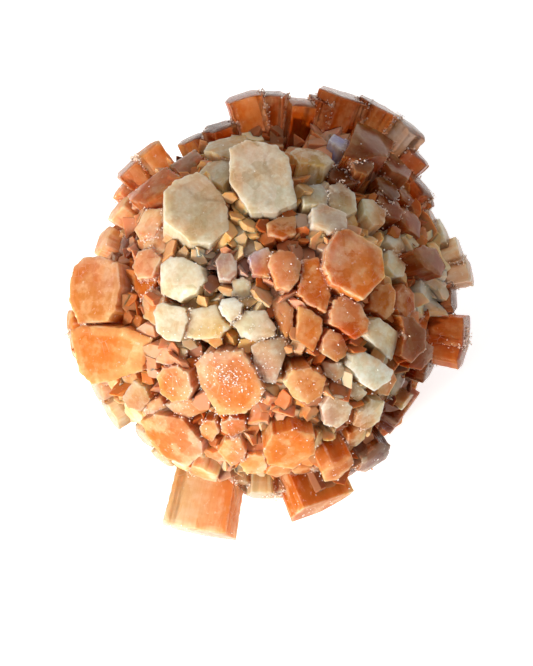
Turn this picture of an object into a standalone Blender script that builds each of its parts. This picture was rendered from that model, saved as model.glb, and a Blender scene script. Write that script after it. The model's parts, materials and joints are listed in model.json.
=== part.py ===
"""An aragonite ball cluster: blunt six-sided crystals that grew outwards from one point and locked
together into a single stone, which rests on a small flat spot underneath."""

import math
import random
from collections import namedtuple

import bmesh
import bpy
from mathutils import Vector

MM = 0.001  # the sizes below are in millimetres, and the model is in metres

# Driving dimensions
CENTRE_HEIGHT = 25.5  # from the resting spot up to the point that the crystals grew from
FACE_TILT = math.radians(60)  # how far the well-formed face of the ball looks up from the horizon
CORE_RADIUS = 20.0  # the crystals are locked solid inside this
CRYSTAL_ROOT = 8.0  # each crystal starts this far from the centre
ROOT_SHARE = 0.8  # its width there, as a share of its width at the tip
SHOULDER = 0.56  # where the long flats of a six-sided outline end, as a share of its half length
CORNER_PLAY = 0.06  # how far a corner strays from the regular outline, as a share of the width
RIM_BEVEL = 0.3  # the worn rim round a flat tip

# The rest of the ball, behind and below the measured face. Each pair is a smallest and a largest value,
# and each margin is how far outside its neighbours' tips a crystal stands, as a share of its width.
SEED = 11
NUDGE = 0.06  # how far a crystal's direction strays from an even spread
FLATNESS = (0.7, 0.95)  # its short side, as a share of its long one
BACK_DIRECTIONS = 330
BACK_REACH = (25.0, 28.6)
BACK_WIDTH = (4.8, 9.0)
BACK_MARGIN = 0.29
BACK_EDGE = -0.3  # nearer the face than this share of the way out of it, the back's crystals are short
EDGE_REACH = (23.0, 25.4)
FACE_EDGE = 0.2  # nearer the face than this, crystals only fill the gaps between the measured ones
GAP_DIRECTIONS = 640
GAP_REACH = (24.8, 27.0)
GAP_WIDTH = (3.2, 4.8)
GAP_MARGIN = 0.26

# The crystals that the ball rests on: one straight down, and a ring that leans out round it
FOOT_RING = 5
FOOT_LEAN = math.radians(27)
FOOT_WIDTH = (7.0, 9.0)
FOOT_FLATNESS = 0.85
FOOT_SPARE = 0.8  # how far the middle one would reach below the floor that cuts it
RING_SPARE = 2.6

RADIAL = (0, 0)  # the root of a crystal that grew straight out from the centre

# A crystal seen end on. corners is the outline of its flat tip as it lies on the face of the ball,
# across and up from the middle and taken clockwise, reach is how far the tip stands from the centre, and
# root is how far the line that it grew along passes from the centre.
EndOn = namedtuple("EndOn", "name reach root corners")

# A crystal seen more from its side. across and up place the middle of its tip, long and short are its
# six-sided outline across the corners and across the flats, and turn is the angle of the long way.
Leaning = namedtuple(
    "Leaning",
    "name across up reach long short turn root shoulder",
    defaults=(RADIAL, SHOULDER),
)

END_ON = [
    # The pale group at the top of the face
    EndOn("pale_top", 30.6, (1, 9), [
        (-5.3, 22.9), (-2.9, 24.1), (1.4, 23.4), (3.1, 21.6), (4.2, 15.5), (1.4, 13.9),
        (-2.3, 13.6), (-5.2, 18.0),
    ]),
    EndOn("pale_left", 30.5, (-12, 3), [
        (-14.3, 16.7), (-12.8, 18.4), (-9.7, 19.6), (-8.4, 19.0), (-6.1, 16.3),
        (-5.3, 14.2), (-5.2, 11.3), (-7.6, 9.4), (-10.6, 9.7), (-14.2, 12.6),
    ]),
    EndOn("yellow_grey_top", 30.2, (0, -9), [
        (3.3, 22.4), (4.1, 23.1), (7.9, 22.9), (9.8, 21.6), (8.4, 20.7), (4.6, 20.8),
    ]),
    EndOn("grey_block", 28.4, (0, -4), [
        (4.6, 17.6), (7.6, 17.9), (8.9, 16.4), (8.4, 14.9), (5.2, 14.8),
    ]),
    EndOn("grey_mid", 29.0, (2, 2), [
        (8.9, 17.8), (10.4, 18.3), (12.5, 16.7), (12.8, 14.2), (10.8, 13.2), (8.8, 15.0),
    ]),
    EndOn("grey_right", 28.8, (0, -4), [
        (13.5, 16.0), (15.1, 15.9), (16.9, 14.2), (16.8, 12.6), (15.2, 12.3), (13.7, 13.7),
    ]),
    EndOn("pink_cap", 30.2, RADIAL, [
        (6.4, 14.5), (7.8, 15.2), (11.3, 13.7), (11.3, 11.6), (8.9, 10.9), (6.4, 12.1),
    ]),
    EndOn("grey_top_left", 28.2, (0, -6), [
        (-9.6, 19.6), (-8.3, 21.2), (-5.4, 21.6), (-4.6, 19.4), (-6.2, 17.6),
    ]),
    EndOn("brown_prism", 27.8, RADIAL, [
        (-13.8, 20.9), (-10.2, 23.3), (-8.9, 21.9), (-11.6, 19.2),
    ]),
    EndOn("clear_top", 28.6, RADIAL, [
        (-9.0, 22.9), (-8.3, 24.2), (-3.0, 25.4), (-2.6, 23.8), (-5.4, 21.9),
    ]),
    EndOn("right_prism", 31.8, RADIAL, [
        (13.1, 27.4), (18.8, 25.2), (17.2, 21.9), (13.2, 22.0), (11.4, 22.8),
    ]),
    EndOn("lilac_right", 30.8, (4, 4), [
        (11.8, 21.3), (12.6, 22.0), (14.8, 22.0), (15.2, 20.3), (14.2, 19.2), (12.6, 19.7),
    ]),
    # The rust and peach group in the middle
    EndOn("orange_hex", 31.0, (2, 1), [
        (8.3, 8.8), (9.8, 11.2), (11.5, 11.5), (16.3, 8.8), (16.6, 4.8), (13.4, 1.5),
        (9.0, 3.8), (7.9, 6.2),
    ]),
    EndOn("rust_top", 28.4, RADIAL, [
        (0.0, 12.3), (1.8, 13.2), (4.1, 13.4), (4.2, 10.8), (2.3, 10.0), (0.2, 10.7),
    ]),
    EndOn("lilac_middle", 28.8, (-3, 0), [
        (-2.6, 7.5), (-1.7, 8.3), (0.2, 8.9), (0.9, 7.6), (0.4, 4.6), (-1.9, 5.1),
    ]),
    EndOn("peach_middle", 30.2, RADIAL, [
        (0.2, 6.5), (0.7, 7.9), (1.8, 8.6), (3.7, 8.3), (4.9, 6.7), (4.5, 4.4), (3.3, 2.9), (1.4, 3.2),
    ]),
    EndOn("rust_column", 29.2, RADIAL, [
        (5.1, 7.2), (7.2, 7.5), (8.6, 4.6), (9.0, 2.2), (8.3, -0.3), (5.7, 1.0), (4.3, 2.4), (4.8, 5.0),
    ]),
    EndOn("rust_low", 28.8, RADIAL, [
        (4.4, 0.7), (6.3, 0.1), (7.8, -1.1), (7.8, -2.9), (6.7, -5.8), (4.1, -3.9),
    ]),
    EndOn("pink_column", 28.4, RADIAL, [
        (0.5, 1.3), (1.8, 2.2), (3.8, 0.3), (3.7, -2.2), (2.8, -3.9), (1.7, -2.4),
    ]),
    EndOn("brown_low", 28.4, RADIAL, [
        (14.8, 2.4), (15.8, 3.7), (17.4, 4.0), (18.2, 2.8), (18.1, -0.1), (16.9, -1.2), (14.7, 0.3),
    ]),
    EndOn("peach_right", 29.4, RADIAL, [
        (9.0, 0.0), (9.4, 1.5), (10.6, 2.2), (13.1, 1.0), (14.3, -1.3), (14.2, -2.9),
        (12.4, -4.0), (8.9, -1.8),
    ]),
    EndOn("peach_small", 28.8, RADIAL, [
        (7.9, -3.8), (8.9, -2.5), (10.5, -3.3), (11.6, -5.3), (11.2, -6.3), (9.9, -7.2), (7.7, -5.9),
    ]),
    EndOn("beige_low", 28.8, RADIAL, [
        (-2.2, -4.9), (-0.6, -3.9), (2.3, -3.9), (3.2, -4.8), (2.2, -7.5), (1.4, -10.0), (-0.1, -10.0),
        (-1.6, -8.2),
    ]),
    # The cream and green group left of the middle
    EndOn("green_left", 29.6, RADIAL, [
        (-15.0, 6.6), (-13.5, 7.7), (-11.6, 7.5), (-9.2, 6.3), (-8.6, 4.3), (-9.8, 2.6), (-12.3, 1.3),
        (-15.1, 2.6),
    ]),
    EndOn("cream_square", 29.6, RADIAL, [
        (-15.9, -0.2), (-15.3, 0.9), (-14.6, 1.2), (-11.3, 0.4), (-11.0, -1.4),
        (-12.0, -4.3), (-14.0, -4.1),
        (-15.4, -2.9),
    ]),
    EndOn("cream_yellow", 28.7, RADIAL, [
        (-10.9, 0.1), (-7.2, 0.9), (-6.5, -0.8), (-5.0, -2.2), (-6.5, -3.8), (-9.9, -4.0), (-11.5, -3.6),
    ]),
    EndOn("white_gem", 29.6, RADIAL, [
        (-6.7, 0.6), (-6.2, 1.6), (-4.5, 1.9), (-3.3, 1.0), (-3.7, -0.7), (-5.0, -1.7), (-6.2, -0.6),
    ]),
    EndOn("pale_middle", 29.2, RADIAL, [
        (-4.8, -1.8), (-2.9, 0.0), (-0.2, 0.1), (1.3, -2.3), (1.1, -3.6), (-1.6, -4.2), (-3.6, -3.7),
    ]),
    EndOn("grey_small", 27.9, RADIAL, [
        (-4.8, 4.4), (-3.3, 4.8), (-2.2, 4.1), (-2.2, 2.2), (-3.4, 1.6), (-4.9, 2.1),
    ]),
    EndOn("grey_smaller", 27.4, RADIAL, [
        (-2.6, 3.0), (-1.2, 3.2), (-0.1, 2.0), (-0.3, 0.6), (-1.8, 0.3), (-2.8, 1.5),
    ]),
    EndOn("smoky_column", 28.8, (-5, -3), [
        (-7.1, 6.9), (-6.3, 8.1), (-4.9, 8.1), (-4.1, 6.8), (-4.1, 5.2), (-5.0, 4.3), (-6.6, 4.4),
    ]),
    # The orange group low on the face
    EndOn("speckled", 29.8, RADIAL, [
        (-10.1, -7.7), (-8.6, -6.0), (-7.0, -5.6), (-3.4, -5.5), (-1.5, -8.4),
        (-0.3, -11.2), (-0.9, -12.6),
        (-2.9, -14.3), (-6.8, -14.6), (-9.3, -10.8),
    ]),
    EndOn("orange_low", 29.4, RADIAL, [
        (2.4, -10.1), (3.6, -8.2), (6.1, -7.9), (8.4, -9.4), (7.7, -11.9), (5.8, -13.1), (3.8, -12.2),
    ]),
    EndOn("pink_between", 28.2, RADIAL, [
        (7.8, -7.2), (10.6, -7.2), (11.2, -8.9), (9.7, -10.0), (8.4, -9.2),
    ]),
    EndOn("striped_between", 27.9, RADIAL, [
        (11.4, -9.4), (13.0, -10.4), (14.5, -11.7), (13.4, -13.2), (11.8, -12.0),
    ]),
    EndOn("rust_low_left", 27.6, RADIAL, [
        (-14.6, -13.4), (-12.8, -12.6), (-9.4, -12.4), (-8.0, -14.0), (-11.6, -15.4),
    ]),
    EndOn("peach_low_left", 27.4, RADIAL, [
        (-17.4, -12.8), (-15.4, -12.4), (-14.4, -13.8), (-16.4, -15.0), (-17.9, -14.4),
    ]),
    EndOn("pale_peach", 29.2, RADIAL, [
        (7.7, -13.5), (8.9, -11.7), (10.7, -11.9), (12.1, -13.5), (11.5, -15.3),
        (9.9, -16.5), (8.0, -15.9),
    ]),
    EndOn("pink_crust", 28.0, RADIAL, [
        (-16.9, -5.6), (-15.9, -4.5), (-13.9, -4.3), (-11.3, -5.5), (-11.7, -7.0),
        (-13.8, -7.6), (-16.7, -7.0),
    ]),
    EndOn("orange_round", 28.8, RADIAL, [
        (-15.5, -9.2), (-14.6, -8.0), (-12.6, -7.6), (-10.9, -8.6), (-10.3, -11.0), (-11.0, -12.5),
        (-13.2, -12.8), (-14.9, -11.6),
    ]),
    EndOn("low_left", 28.8, (-2, -5), [
        (-18.0, -15.6), (-15.8, -14.6), (-12.0, -15.2), (-9.1, -18.6), (-9.1, -20.2), (-11.2, -22.0),
        (-14.4, -20.8), (-16.4, -19.0),
    ]),
    EndOn("low_small", 28.4, RADIAL, [
        (-9.4, -16.4), (-8.8, -15.3), (-7.2, -15.3), (-6.6, -17.0), (-7.8, -18.6), (-9.2, -17.8),
    ]),
    EndOn("low_sparkle", 28.6, RADIAL, [
        (-6.5, -15.6), (-5.0, -14.9), (-3.1, -15.3), (-2.9, -16.7), (-4.6, -17.7), (-6.3, -17.1),
    ]),
    EndOn("low_middle", 29.2, RADIAL, [
        (-6.9, -19.8), (-6.0, -18.4), (-3.8, -17.9), (-2.8, -19.8), (-3.2, -21.2), (-5.0, -21.9),
    ]),
    EndOn("low_middle_right", 28.7, RADIAL, [
        (-3.8, -21.6), (-2.6, -20.2), (-0.2, -20.3), (0.1, -21.9), (-0.4, -23.2), (-2.9, -23.4),
    ]),
    EndOn("big_low", 30.4, RADIAL, [
        (-0.5, -19.4), (0.8, -17.4), (3.8, -16.6), (6.8, -17.4), (6.8, -20.1), (3.7, -22.3), (0.2, -21.6),
    ]),
    EndOn("low_right", 29.2, RADIAL, [
        (7.9, -22.9), (9.3, -21.6), (12.2, -20.6), (12.6, -21.8), (10.1, -24.2), (8.3, -24.4),
    ]),
    # The left limb
    EndOn("left_upper", 30.6, (-10, 0), [
        (-27.9, 4.6), (-27.4, 6.4), (-26.0, 7.7), (-23.6, 7.9), (-21.0, 6.9), (-20.6, 3.5), (-21.3, 0.2),
        (-22.5, -1.4), (-26.7, -1.7), (-28.1, 1.5),
    ]),
    EndOn("left_lower", 30.6, (-9, -2), [
        (-27.9, -2.8), (-26.0, -1.9), (-20.0, -2.3), (-16.6, -4.0), (-18.1, -8.6), (-22.5, -10.0),
        (-24.8, -10.4), (-26.7, -8.6),
    ]),
    EndOn("pink_prism", 29.2, RADIAL, [
        (-20.4, 17.0), (-14.2, 20.6), (-12.0, 19.0), (-14.5, 16.8), (-17.3, 15.2), (-19.4, 15.7),
    ]),
    EndOn("glass_left", 28.0, RADIAL, [
        (-20.6, -12.2), (-18.9, -9.8), (-17.3, -10.8), (-16.5, -12.6), (-17.8, -14.2), (-19.8, -13.8),
    ]),
    # The right limb
    EndOn("yellow_clear", 28.6, RADIAL, [
        (14.3, -1.4), (15.8, -0.9), (19.3, -3.4), (19.2, -5.3), (18.2, -7.0), (16.9, -6.5), (13.8, -3.5),
    ]),
    EndOn("orange_brown", 29.0, RADIAL, [
        (18.7, -0.6), (20.7, -0.9), (22.6, -2.8), (22.5, -5.4), (20.4, -7.3), (18.9, -6.3), (19.4, -3.4),
    ]),
    EndOn("orange_brown_low", 28.4, RADIAL, [
        (22.3, -4.0), (23.8, -5.0), (23.7, -6.5), (22.0, -8.4), (20.4, -8.2),
    ]),
    EndOn("pale_quartz", 29.4, RADIAL, [
        (11.8, -8.0), (12.4, -6.5), (13.8, -5.8), (15.8, -6.8), (18.0, -8.4), (17.6, -9.8), (15.2, -11.3),
        (13.4, -10.2),
    ]),
    EndOn("brown_round", 28.4, RADIAL, [
        (20.7, 8.5), (22.2, 9.5), (24.3, 9.0), (25.8, 6.5), (25.0, 4.9), (22.6, 6.2),
    ]),
]

LEANING = [
    Leaning("grey_between", -4.0, 12.4, 27.0, 4.6, 3.8, 120),
    Leaning("olive_between", -3.0, 9.6, 26.6, 4.8, 3.8, 60),
    Leaning("brown_inner", 10.8, 19.3, 28.8, 4.6, 4.2, 90),
    Leaning("crust_low", 1.4, -11.8, 27.2, 4.2, 3.8, 20),
    Leaning("crust_lower", 4.3, -14.0, 26.8, 3.8, 3.4, 70),
    Leaning("olive_low", 7.2, -16.4, 26.0, 4.4, 3.8, 30),
    # The bottom
    Leaning("bottom_left", -9.4, -32.0, 33.6, 11.1, 7.6, 0, (-3, 0), 0.85),
    Leaning("bottom_right", 7.9, -28.1, 29.8, 9.2, 6.8, 0, (-3.8, -1.4), 0.85),
    Leaning("limb_bottom", -0.6, -26.5, 27.2, 5.2, 4.6, 0),
    Leaning("limb_bottom_right", 2.4, -26.2, 26.9, 4.4, 4.0, 30),
    Leaning("limb_bottom_left", -3.6, -24.8, 25.8, 4.2, 3.8, 60),
    # The left limb
    Leaning("limb_low_left", -15.2, -21.2, 26.8, 4.0, 3.6, 30),
    Leaning("limb_low_left_up", -17.8, -18.2, 26.2, 4.4, 4.0, 0),
    Leaning("clear_wedge", -22.5, -14.9, 27.9, 4.8, 4.2, 60),
    Leaning("clear_wedge_up", -24.6, -11.1, 27.9, 4.8, 4.0, 20),
    Leaning("limb_left_low", -28.0, -5.0, 29.2, 4.6, 4.0, 90),
    Leaning("limb_left_middle", -28.5, -1.8, 29.2, 4.2, 3.8, 0),
    Leaning("orange_nook", -17.2, 4.0, 27.6, 4.8, 4.4, 20),
    Leaning("orange_nook_low", -19.0, 1.2, 27.0, 4.4, 4.0, 70),
    Leaning("orange_pink", -15.8, 0.7, 28.0, 5.2, 4.2, 95),
    Leaning("pink_round", -17.0, 6.8, 28.4, 5.0, 4.6, 10),
    Leaning("pink_clear", -16.6, 12.4, 28.2, 5.4, 4.8, 60),
    Leaning("pink_clear_low", -15.6, 9.6, 27.8, 4.6, 4.2, 20),
    Leaning("brown_nook", -20.0, 10.0, 25.4, 4.4, 4.0, 40),
    Leaning("limb_pink_low", -23.8, 10.3, 26.7, 5.4, 4.8, 90),
    Leaning("limb_pink", -21.4, 15.2, 27.2, 5.0, 4.4, 90),
    Leaning("limb_pink_top", -21.0, 18.0, 28.2, 4.0, 3.6, 0),
    Leaning("limb_left_high", -20.0, 20.8, 29.6, 4.8, 4.4, 45, RADIAL, 0.75),
    Leaning("limb_top_left", -17.5, 23.3, 29.8, 4.8, 4.4, 45, RADIAL, 0.75),
    # The brown group along the top
    Leaning("dark_top_low", -10.8, 25.0, 28.0, 5.2, 4.2, 30),
    Leaning("dark_top_left", -6.6, 26.7, 28.7, 5.8, 4.8, 30),
    Leaning("top_prism", -3.4, 31.1, 32.1, 6.0, 5.2, 20, (5.5, 2), 0.75),
    Leaning("top_dark", 1.0, 31.4, 32.2, 4.8, 4.4, 0),
    Leaning("top_block", 5.0, 30.2, 31.9, 4.2, 5.2, 0, RADIAL, 0.85),
    Leaning("top_slab", 8.0, 30.6, 32.5, 3.2, 4.6, 0, RADIAL, 0.85),
    Leaning("top_brown", 11.5, 31.1, 33.8, 8.4, 6.4, 5),
    Leaning("top_brown_right", 16.6, 29.5, 34.3, 7.8, 6.0, 0),
    Leaning("sky_limb", 20.9, 26.6, 34.4, 5.8, 5.2, 0),
    Leaning("sky_limb_low", 21.6, 22.9, 32.0, 5.2, 4.8, 40),
    Leaning("lilac_notch", 10.9, 23.9, 30.0, 4.0, 3.6, 60),
    Leaning("brown_right", 18.4, 20.9, 30.4, 6.0, 5.4, 60),
    Leaning("brown_right_low", 22.2, 18.4, 29.8, 5.2, 4.8, 20),
    Leaning("brown_nook_right", 17.2, 17.6, 29.0, 4.4, 4.0, 30),
    Leaning("slat_right", 20.0, 16.6, 28.6, 3.6, 2.8, 40),
    Leaning("tip_right", 23.6, 16.4, 29.4, 2.8, 2.6, 30),
    Leaning("brown_step", 17.5, 14.9, 28.4, 4.8, 4.4, 0),
    Leaning("rust_step", 20.6, 13.0, 27.8, 5.0, 4.6, 60),
    # The right limb
    Leaning("crust_right", 18.6, 10.2, 26.6, 4.4, 4.0, 20),
    Leaning("crust_right_low", 18.4, 6.8, 26.2, 4.2, 3.8, 70),
    Leaning("limb_grey_top", 24.1, 13.2, 28.1, 4.4, 4.0, 10),
    Leaning("limb_grey", 25.8, 11.2, 28.7, 4.6, 4.2, 40),
    Leaning("limb_clear_top", 27.9, 8.8, 29.8, 4.6, 4.2, 0),
    Leaning("limb_clear", 29.4, 6.0, 30.5, 4.6, 4.4, 40),
    Leaning("limb_dark", 27.0, 2.0, 27.9, 4.6, 4.2, 30),
    Leaning("striped_block", 23.0, 4.0, 25.6, 5.2, 4.6, 90, RADIAL, 0.85),
    Leaning("brown_limb", 28.7, -2.8, 29.9, 5.0, 4.8, 90, RADIAL, 0.8),
    Leaning("brown_limb_low", 28.4, -5.6, 29.9, 5.6, 4.8, 70, RADIAL, 0.8),
    Leaning("limb_right_low", 23.4, -8.2, 25.8, 4.6, 4.2, 0),
    Leaning("dark_right_low", 18.9, -10.5, 23.8, 4.4, 4.0, 0),
    Leaning("dark_right_lower", 16.2, -13.3, 23.4, 4.4, 4.0, 30),
    Leaning("grey_low_right", 14.6, -14.8, 27.4, 5.6, 4.6, 90),
    Leaning("smoky_limb", 15.4, -21.4, 28.0, 6.2, 5.2, 30),
    Leaning("smoky_limb_left", 12.4, -22.8, 27.1, 4.4, 4.0, 60),
]

# A crystal as it is built: the middle of its flat tip, the way that it points, its corners there, and
# whether the rim round the tip is worn
Prism = namedtuple("Prism", "name tip axis corners worn", defaults=(False,))


def face_axes():
    """The ball's measured face: the unit vectors that run across it, up it and straight out of it."""
    across = Vector((1, 0, 0))
    up = Vector((0, math.sin(FACE_TILT), math.cos(FACE_TILT)))
    out = Vector((0, -math.cos(FACE_TILT), math.sin(FACE_TILT)))
    return across, up, out


def six_corners(tip, axis, long, short, turn, shoulder, draw):
    """A six-sided outline square to the axis round the tip, whose corners stray a little at random."""
    across, up, out = face_axes()
    lay = out.rotation_difference(axis)
    along = lay @ (across * math.cos(turn) + up * math.sin(turn))
    side = axis.cross(along)
    flat = shoulder * long / 2
    regular = [
        (long / 2, 0),
        (flat, short / 2),
        (-flat, short / 2),
        (-long / 2, 0),
        (-flat, -short / 2),
        (flat, -short / 2),
    ]
    play = CORNER_PLAY * (long + short) / 2
    return [
        tip + along * (x + draw.uniform(-play, play)) + side * (y + draw.uniform(-play, play))
        for x, y in regular
    ]


def end_on_prism(row):
    """The crystal whose flat tip shows the row's outline on the face of the ball."""
    across, up, out = face_axes()
    middle_across = sum(x for x, y in row.corners) / len(row.corners)
    middle_up = sum(y for x, y in row.corners) / len(row.corners)
    stand = math.sqrt(row.reach**2 - middle_across**2 - middle_up**2)
    tip = across * middle_across + up * middle_up + out * stand
    axis = (tip - across * row.root[0] - up * row.root[1]).normalized()
    corners = []
    for x, y in reversed(row.corners):
        flat = across * x + up * y
        corners.append(flat + out * ((tip - flat).dot(axis) / out.dot(axis)))
    return Prism(row.name, tip, axis, corners, True)


def leaning_prism(row, draw):
    """The crystal of a row that gives its tip's place and its six-sided size."""
    across, up, out = face_axes()
    stand = math.sqrt(max(0, row.reach**2 - row.across**2 - row.up**2))
    tip = across * row.across + up * row.up + out * stand
    axis = (tip - across * row.root[0] - up * row.root[1]).normalized()
    corners = six_corners(tip, axis, row.long, row.short, math.radians(row.turn), row.shoulder, draw)
    return Prism(row.name, tip, axis, corners)


def foot_prisms():
    """The crystals that the ball rests on: one straight down and a ring that leans out round it."""
    draw = random.Random(SEED)
    made = []
    for number in range(FOOT_RING + 1):
        lean = FOOT_LEAN if number else 0
        round_it = math.tau * number / FOOT_RING
        axis = Vector((
            math.sin(lean) * math.cos(round_it),
            math.sin(lean) * math.sin(round_it),
            -math.cos(lean),
        ))
        tip = axis * (CENTRE_HEIGHT + (RING_SPARE if number else FOOT_SPARE))
        long = draw.uniform(*FOOT_WIDTH)
        turn = draw.uniform(0, math.pi)
        corners = six_corners(tip, axis, long, long * FOOT_FLATNESS, turn, SHOULDER, draw)
        made.append(Prism(f"foot_{number}", tip, axis, corners))
    return made


def spread(count, draw):
    """Directions spread evenly over the ball by the golden angle, each nudged a little at random."""
    golden = math.pi * (3 - math.sqrt(5))
    ways = []
    for number in range(count):
        height = 1 - 2 * (number + 0.5) / count
        ring = math.sqrt(1 - height * height)
        way = Vector((ring * math.cos(golden * number), ring * math.sin(golden * number), height))
        ways.append((way + Vector([draw.uniform(-NUDGE, NUDGE) for _ in range(3)])).normalized())
    return ways


def is_clear(prism, way, margin):
    """Whether the line from the centre along way passes at least margin outside the prism's flat tip."""
    lean = way.dot(prism.axis)
    if lean < 0.3:
        return True
    passing = way * (prism.tip.dot(prism.axis) / lean)
    following = prism.corners[1:] + prism.corners[:1]
    return any(
        (passing - corner).dot((after - corner).cross(prism.axis).normalized()) > margin
        for corner, after in zip(prism.corners, following)
    )


def filling_prisms(standing):
    """Crystals for the rest of the ball, each one left out where another already covers its place. On
    the measured face they only fill the gaps, and round its edge they stay short."""
    out = face_axes()[2]
    draw = random.Random(SEED)
    ways = [(way, False) for way in spread(BACK_DIRECTIONS, draw)]
    ways += [(way, True) for way in spread(GAP_DIRECTIONS, draw)]
    made = []
    for number, (way, gap) in enumerate(ways):
        facing = way.dot(out)
        if (facing > FACE_EDGE) != gap:
            continue
        if gap:
            reach, long, share = draw.uniform(*GAP_REACH), draw.uniform(*GAP_WIDTH), GAP_MARGIN
        elif facing > BACK_EDGE:
            reach, long, share = draw.uniform(*EDGE_REACH), draw.uniform(*BACK_WIDTH), BACK_MARGIN
        else:
            reach, long, share = draw.uniform(*BACK_REACH), draw.uniform(*BACK_WIDTH), BACK_MARGIN
        short = long * draw.uniform(*FLATNESS)
        turn = draw.uniform(0, math.pi)
        tip = way * reach
        corners = six_corners(tip, way, long, short, turn, SHOULDER, draw)
        if all(is_clear(prism, way, share * long) for prism in standing + made):
            made.append(Prism(f"back_{number}", tip, way, corners))
    return made


def all_prisms():
    """Every crystal of the ball, measured from the ball's centre."""
    draw = random.Random(SEED)
    standing = [end_on_prism(row) for row in END_ON]
    standing += [leaning_prism(row, draw) for row in LEANING]
    standing += foot_prisms()
    return standing + filling_prisms(standing)


def prism_mesh(prism):
    """The solid of one crystal: a prism from near the centre to its flat tip, with a worn rim."""
    length = prism.tip.length - CRYSTAL_ROOT
    half = min((corner - prism.tip).length for corner in prism.corners)
    bm = bmesh.new()
    rings = []
    rim = [(RIM_BEVEL, 1), (0, 1 - RIM_BEVEL / half)] if prism.worn else [(0, 1)]
    for back, share in [(length, ROOT_SHARE)] + rim:
        middle = prism.tip - prism.axis * back
        ring = [middle + (corner - prism.tip) * share for corner in prism.corners]
        rings.append([bm.verts.new(point * MM) for point in ring])
    bm.faces.new(reversed(rings[0]))
    for lower, upper in zip(rings, rings[1:]):
        for i in range(len(lower)):
            j = (i + 1) % len(lower)
            bm.faces.new((lower[i], lower[j], upper[j], upper[i]))
    bm.faces.new(rings[-1])
    mesh = bpy.data.meshes.new(prism.name)
    bm.to_mesh(mesh)
    bm.free()
    return mesh


def core_mesh():
    """The solid heart of the ball, where the crystals have no space left between them."""
    bm = bmesh.new()
    bmesh.ops.create_icosphere(bm, subdivisions=2, radius=CORE_RADIUS * MM)
    mesh = bpy.data.meshes.new("core")
    bm.to_mesh(mesh)
    bm.free()
    return mesh


def floor_mesh():
    """A block below the floor, which cuts the resting spot flat."""
    size = 2 * CENTRE_HEIGHT * MM
    bm = bmesh.new()
    bmesh.ops.create_cube(bm, size=size)
    bmesh.ops.translate(bm, verts=bm.verts, vec=(0, 0, -size / 2))
    mesh = bpy.data.meshes.new("floor_cut")
    bm.to_mesh(mesh)
    bm.free()
    return mesh


def helper(name, mesh, home, height=0):
    """An object that only lends its shape to a union or a cut."""
    made = bpy.data.objects.new(name, mesh)
    made.location.z = height * MM
    made.hide_render = True
    made.display_type = "WIRE"
    home.objects.link(made)
    return made


def cluster_mesh(crystals, floor_cut):
    """The crystals and the heart as one closed skin, cut flat underneath, without its sealed pockets."""
    joined = helper("joined", core_mesh(), bpy.context.scene.collection, CENTRE_HEIGHT)
    union = joined.modifiers.new("crystals", "BOOLEAN")
    union.operation = "UNION"
    union.operand_type = "COLLECTION"
    union.collection = crystals
    cut = joined.modifiers.new("resting_spot", "BOOLEAN")
    cut.operation = "DIFFERENCE"
    cut.object = floor_cut
    bpy.context.view_layer.update()
    found = joined.evaluated_get(bpy.context.evaluated_depsgraph_get())
    bm = bmesh.new()
    bm.from_mesh(found.to_mesh())
    bm.transform(joined.matrix_world)
    keep_outer_skin(bm)
    bmesh.ops.dissolve_degenerate(bm, dist=0.002 * MM, edges=bm.edges)
    mesh = bpy.data.meshes.new("crystal_cluster")
    bm.to_mesh(mesh)
    bm.free()
    bpy.data.objects.remove(joined)
    return mesh


def keep_outer_skin(bm):
    """Deletes every closed skin but the one with the most faces, which is the outside."""
    unseen = set(bm.faces)
    skins = []
    while unseen:
        skin = []
        reached = [unseen.pop()]
        while reached:
            face = reached.pop()
            skin.append(face)
            beside = {other for edge in face.edges for other in edge.link_faces} & unseen
            unseen -= beside
            reached += sorted(beside, key=lambda other: other.index)
        skins.append(skin)
    outer = max(skins, key=len)
    inner = [face for skin in skins if skin is not outer for face in skin]
    bmesh.ops.delete(bm, geom=inner, context="FACES")


def aragonite():
    """The peach-orange of the crystals, with their dull glassy shine."""
    material = bpy.data.materials.new("aragonite")
    material.use_nodes = True
    surface = material.node_tree.nodes["Principled BSDF"]
    surface.inputs["Base Color"].default_value = (0.74, 0.37, 0.17, 1)
    surface.inputs["Roughness"].default_value = 0.28
    surface.inputs["Metallic"].default_value = 0
    material.diffuse_color = (0.74, 0.37, 0.17, 1)
    return material


def main():
    for old in list(bpy.data.objects):
        bpy.data.objects.remove(old)
    scene = bpy.context.scene
    crystals = bpy.data.collections.new("crystals")
    scene.collection.children.link(crystals)
    for prism in all_prisms():
        helper(prism.name, prism_mesh(prism), crystals, CENTRE_HEIGHT)
    floor_cut = helper("floor_cut", floor_mesh(), scene.collection)
    mesh = cluster_mesh(crystals, floor_cut)
    mesh.materials.append(aragonite())
    cluster = bpy.data.objects.new("crystal_cluster", mesh)
    scene.collection.objects.link(cluster)


if __name__ == "__main__":
    main()
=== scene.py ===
"""Dresses the aragonite ball cluster: blunt translucent crystals in cream, peach, orange and smoky brown,
with cloudy growth zones, worn rims, a sugary crust along their joints and a dusting of white specks.

Run as a script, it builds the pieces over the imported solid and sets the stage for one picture."""

import json
import math
import random
from collections import namedtuple
from functools import lru_cache

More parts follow.
